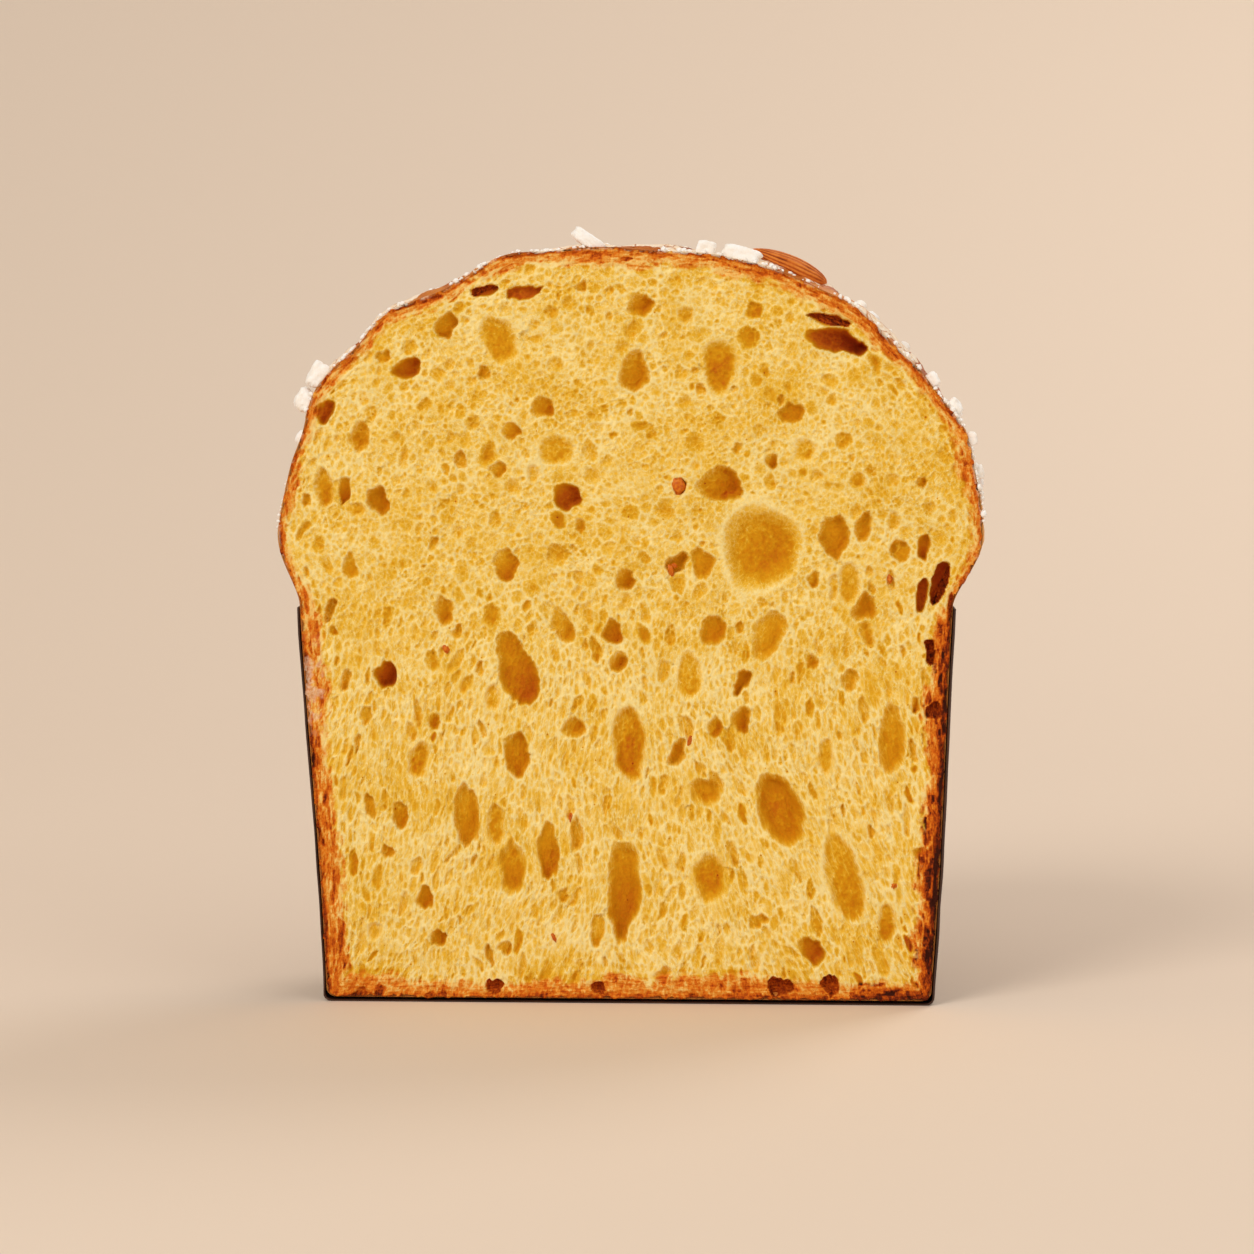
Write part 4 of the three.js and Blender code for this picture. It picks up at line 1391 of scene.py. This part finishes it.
# A grain of sugar from the ball: blocky, uneven, length by width by height
def grainPoints(ball, size, seed, blocky=3.5, rough=0.12):
    block = (np.abs(ball) ** blocky).sum(axis=1) ** (-1 / blocky)
    lumps = cloudSpace(900)
    offset = np.array([seed * 3.7, seed * 1.9, seed * 2.3])
    uneven = 1 + rough * 1.4 * lumps(ball * 1.3 + offset) + rough * 0.8 * lumps(ball * 4 + offset)
    return ball * (block * uneven)[:, None] * np.asarray(size) / 2


def turned(points, tilt, turn):
    c, s = math.cos(tilt), math.sin(tilt)
    x, z = points[:, 0] * c - points[:, 2] * s, points[:, 0] * s + points[:, 2] * c
    points = np.stack([x, points[:, 1], z], -1)
    c, s = math.cos(turn), math.sin(turn)
    x, y = points[:, 0] * c - points[:, 1] * s, points[:, 0] * s + points[:, 1] * c
    return np.stack([x, y, points[:, 2]], -1)


def settle(points, angle, climb, lift, tilt=0.0, turn=0.0):
    here, slope, across, out = domeBasis(angle, climb)
    return here + out * lift + turned(points, tilt, turn) @ np.stack([slope, across, out])


def sugarGrains():
    ball, faces = ballNet(4)
    coarse, coarseFaces = ballNet(2)
    tiny, tinyFaces = ballNet(1)
    grains = []
    for n, (x, behind, length, thick, tilt) in enumerate(sugar["edge"]):
        t = math.radians(tilt)
        lift = thick * 0.3 + length / 2 * abs(math.sin(t)) * 0.3
        deep = behind - loaf["cutInFront"]
        grain = grainPoints(ball, (length, thick, thick), n + 40, 4.5)
        grains.append((settle(grain, math.atan2(deep, x), climbAt(math.hypot(deep, x)), lift, t), faces))
    nuts = [domePoint(np.array(math.radians(a)), math.radians(c)) for a, c, _ in almond["places"]]
    clearOf = almond["length"] * sugar["clearOfAlmonds"]
    for i in range(sugar["scattered"]):
        climb = math.asin(mix(0.16, 0.995, (i + 0.5) / sugar["scattered"]))
        around = ((i * goldenAngle) / (2 * math.pi)) % 1
        angle = math.radians(mix(4, 176, around) + 7 * (scatter(i) - 0.5))
        spot = domePoint(np.array(angle), climb)
        if min(np.linalg.norm(nut - spot) for nut in nuts) < clearOf:
            continue
        size = mix(*sugar["scatteredSizes"], scatter(i + 50) ** 1.6)
        isRod = scatter(i + 130) > sugar["rodsAbove"]
        form = (size * 1.9, size * 0.8, size * 0.8) if isRod else (size, size * 0.95, size * 0.85)
        grain = grainPoints(coarse, form, i, 3.5, 0.16)
        grains.append((settle(grain, angle, climb, size * 0.22, 0, scatter(i + 90) * math.pi), coarseFaces))
    dice = np.random.default_rng(77)
    for i in range(sugar["crumbs"]):
        angle = dice.uniform(math.radians(1.5), math.radians(178.5))
        climb = math.asin(dice.uniform(0.02, 0.99) ** 0.9)
        size = mix(*sugar["crumbSizes"], dice.random() ** 2.2)
        form = size * dice.uniform(0.7, 1.2, 3)
        grain = grainPoints(tiny, form, i + 200, 3, 0.2)
        if domePoint(np.array(angle), climb)[1] < cutY + 1.2:
            continue
        placed = settle(grain, angle, climb, size * 0.3, dice.uniform(-0.5, 0.5), dice.uniform(0, 3))
        grains.append((placed, tinyFaces))
    clump = cloudPlane(78)
    for i in range(sugar["rim"]):
        climb = dice.uniform(0.01, 1.5)
        isRight = dice.random() < 0.6
        size = mix(*sugar["rimSizes"], dice.random() ** 2)
        if clump(climb * 9 + 50 * isRight, 0.5) + dice.uniform(-0.2, 0.5) < 0.1:
            continue
        radius = loaf["bulgeRadius"] * math.cos(climb) ** (2 / loaf["domePower"])
        behind = dice.uniform(0.3, 2.4)
        turn = math.asin(min(1, (behind - loaf["cutInFront"]) / max(radius, 6)))
        grain = grainPoints(tiny, size * dice.uniform(0.7, 1.3, 3), i + 1200, 3, 0.25)
        angle = turn if isRight else math.pi - turn
        grains.append((settle(grain, angle, climb, size * 0.25, 0, dice.uniform(0, 3)), tinyFaces))
    return grains


def joinGrains(name, grains):
    points, faces, start = [], [], 0
    for own, net in grains:
        points.append(own)
        faces.append(net + start)
        start += len(own)
    return storeMesh(name, np.concatenate(points), [np.concatenate(faces)])


def makeSugar():
    piece = joinGrains("pearl_sugar", sugarGrains())
    noises = ((0.5, (2200, 3, 0.6)), (0.5, (300, 2)))
    stops = [(0.3, (250, 238, 222)), (0.6, (255, 252, 247))]
    finish = grainyFinish("sugar", noises, stops, 0.25, 0.6, Roughness=0.55, Specular_IOR_Level=0.5)
    finishPiece(piece, "bread", finish, "loaf")
    print("sugar has", len(piece.data.polygons), "faces")


makeSugar()
print("sugar made")


# Candied peel: small bits that the knife laid bare

peel = {
    # x, z, width, height, turn in degrees
    "bits": [
        (11.7, 116.7, 1.3, 3.2, 10), (16.8, 71.1, 1.1, 2.6, -15), (-48.5, 95.4, 1.5, 2.1, 30),
        (69.8, 114.6, 1.2, 2.2, 5), (-15.2, 50.1, 1.0, 2.4, -10), (-19.7, 17.6, 1.1, 2.6, 20),
        (71.4, 32.2, 1.4, 2.0, -20), (13.6, 139, 3.3, 4.3, 0), (12.6, 117.8, 1.3, 1.5, 40),
    ],
    "thickness": 1.6,
}


def makePeel():
    ball, faces = ballNet(3)
    grains = []
    for n, (x, z, width, height, turn) in enumerate(peel["bits"]):
        bit = grainPoints(ball, (width, peel["thickness"], height), n + 300, 2.6, 0.3)
        bit = turned(bit, math.radians(turn), 0) + [x, cutY + peel["thickness"] * 0.45, z]
        grains.append((bit, faces))
    piece = joinGrains("candied_peel", grains)
    stops = [(0.35, (192, 82, 6)), (0.65, (222, 124, 20))]
    noises = ((1, (1300, 3)),)
    finish = grainyFinish("candied peel", noises, stops, 0.2, 0.5, Roughness=0.4, Specular_IOR_Level=0.2)
    finishPiece(piece, "bread", finish, "loaf")


makePeel()
print("candied peel made")


# The paper mould: thin fluted paper, turned round the loaf's axis and cut with it

paper = {
    "thickness": 0.35,
    "flutes": 200,
    "fluteDepth": 0.18,
    "perFlute": 6,
    "wallRows": 26,
    "footRows": 4,
    "bottomRows": 3,
    "standOff": -0.45,
    "creaseSize": 9,
    "creaseHeight": 0.15,
    "tornEdge": (6, 0.5),   # how far down the rim it reaches, and how deep it is
    "sharpFrom": 50,        # degrees between faces that stay a sharp edge
}


def paperProfile():
    high, rounding, thick = loaf["mouldHeight"], loaf["footRounding"], paper["thickness"]
    side = []
    for k in range(paper["bottomRows"]):
        side.append((k / paper["bottomRows"], 0.0, 0.0))
    for k in range(paper["footRows"] + 1):
        turn = k / paper["footRows"] * math.pi / 2
        side.append((1.0, rounding * (1 - math.sin(turn)), rounding * (1 - math.cos(turn))))
    for k in range(1, paper["wallRows"] + 1):
        side.append((1.0, 0.0, mix(rounding, high, k / paper["wallRows"])))
    floorLift = [thick * (1 - smooth(0, rounding * 2, z)) for _, _, z in side]
    inside = [(share, inset + thick, z + lift) for (share, inset, z), lift in zip(side, floorLift)]
    return side + inside[::-1]


def makePaper():
    profile = paperProfile()
    foot = loaf["mouldFootRadius"]
    line = [(share * (foot - inset), z) for share, inset, z in profile]
    piece, onLine, angle = turnProfile("paper_case", line, paper["flutes"] * paper["perFlute"])
    share, inset, height = (np.array(profile)[onLine, k] for k in range(3))
    onWall = share * smooth(0.5, 3.5, height)
    size = paper["creaseSize"]
    around = np.stack([np.cos(angle) * size, np.sin(angle) * size, height / size], -1)
    crease = cloudSpace(60)(around)
    flute = paper["fluteDepth"] * np.cos(paper["flutes"] * angle + 0.5 * crease)
    wave = (flute + paper["creaseHeight"] * crease) * onWall
    radius = share * (mouldRadius(angle, height) - inset) + (paper["standOff"] + wave) * onWall
    down, deep = paper["tornEdge"]
    rim = smooth(loaf["mouldHeight"] - down, loaf["mouldHeight"], height)
    height = height - rim * deep * (1 + cloudSpace(61)(around * [1.4, 1.4, 0]))
    writePoints(piece, np.stack([radius * np.cos(angle), axisY + radius * np.sin(angle), height], -1) * mm)
    tidyNormals(piece)
    startEdit(piece)
    bpy.ops.mesh.bisect(plane_co=(0, cutY * mm, 0), plane_no=(0, 1, 0), clear_inner=True, use_fill=True)
    bpy.ops.object.mode_set(mode="OBJECT")
    bpy.ops.object.shade_smooth_by_angle(angle=math.radians(paper["sharpFrom"]))
    noises = ((0.4, (1400, 4, 0.65)), (0.6, (45, 3)))
    stops = [(0.3, (36, 18, 10)), (0.5, (60, 33, 18)), (0.7, (92, 55, 30))]
    finish = grainyFinish("paper", noises, stops, 0.15, 0.5, Roughness=0.62, Specular_IOR_Level=0.35)
    finishPiece(piece, "mould_paper", finish, "paper_mould")
    print("paper has", len(piece.data.polygons), "faces")


makePaper()
print("paper mould made")
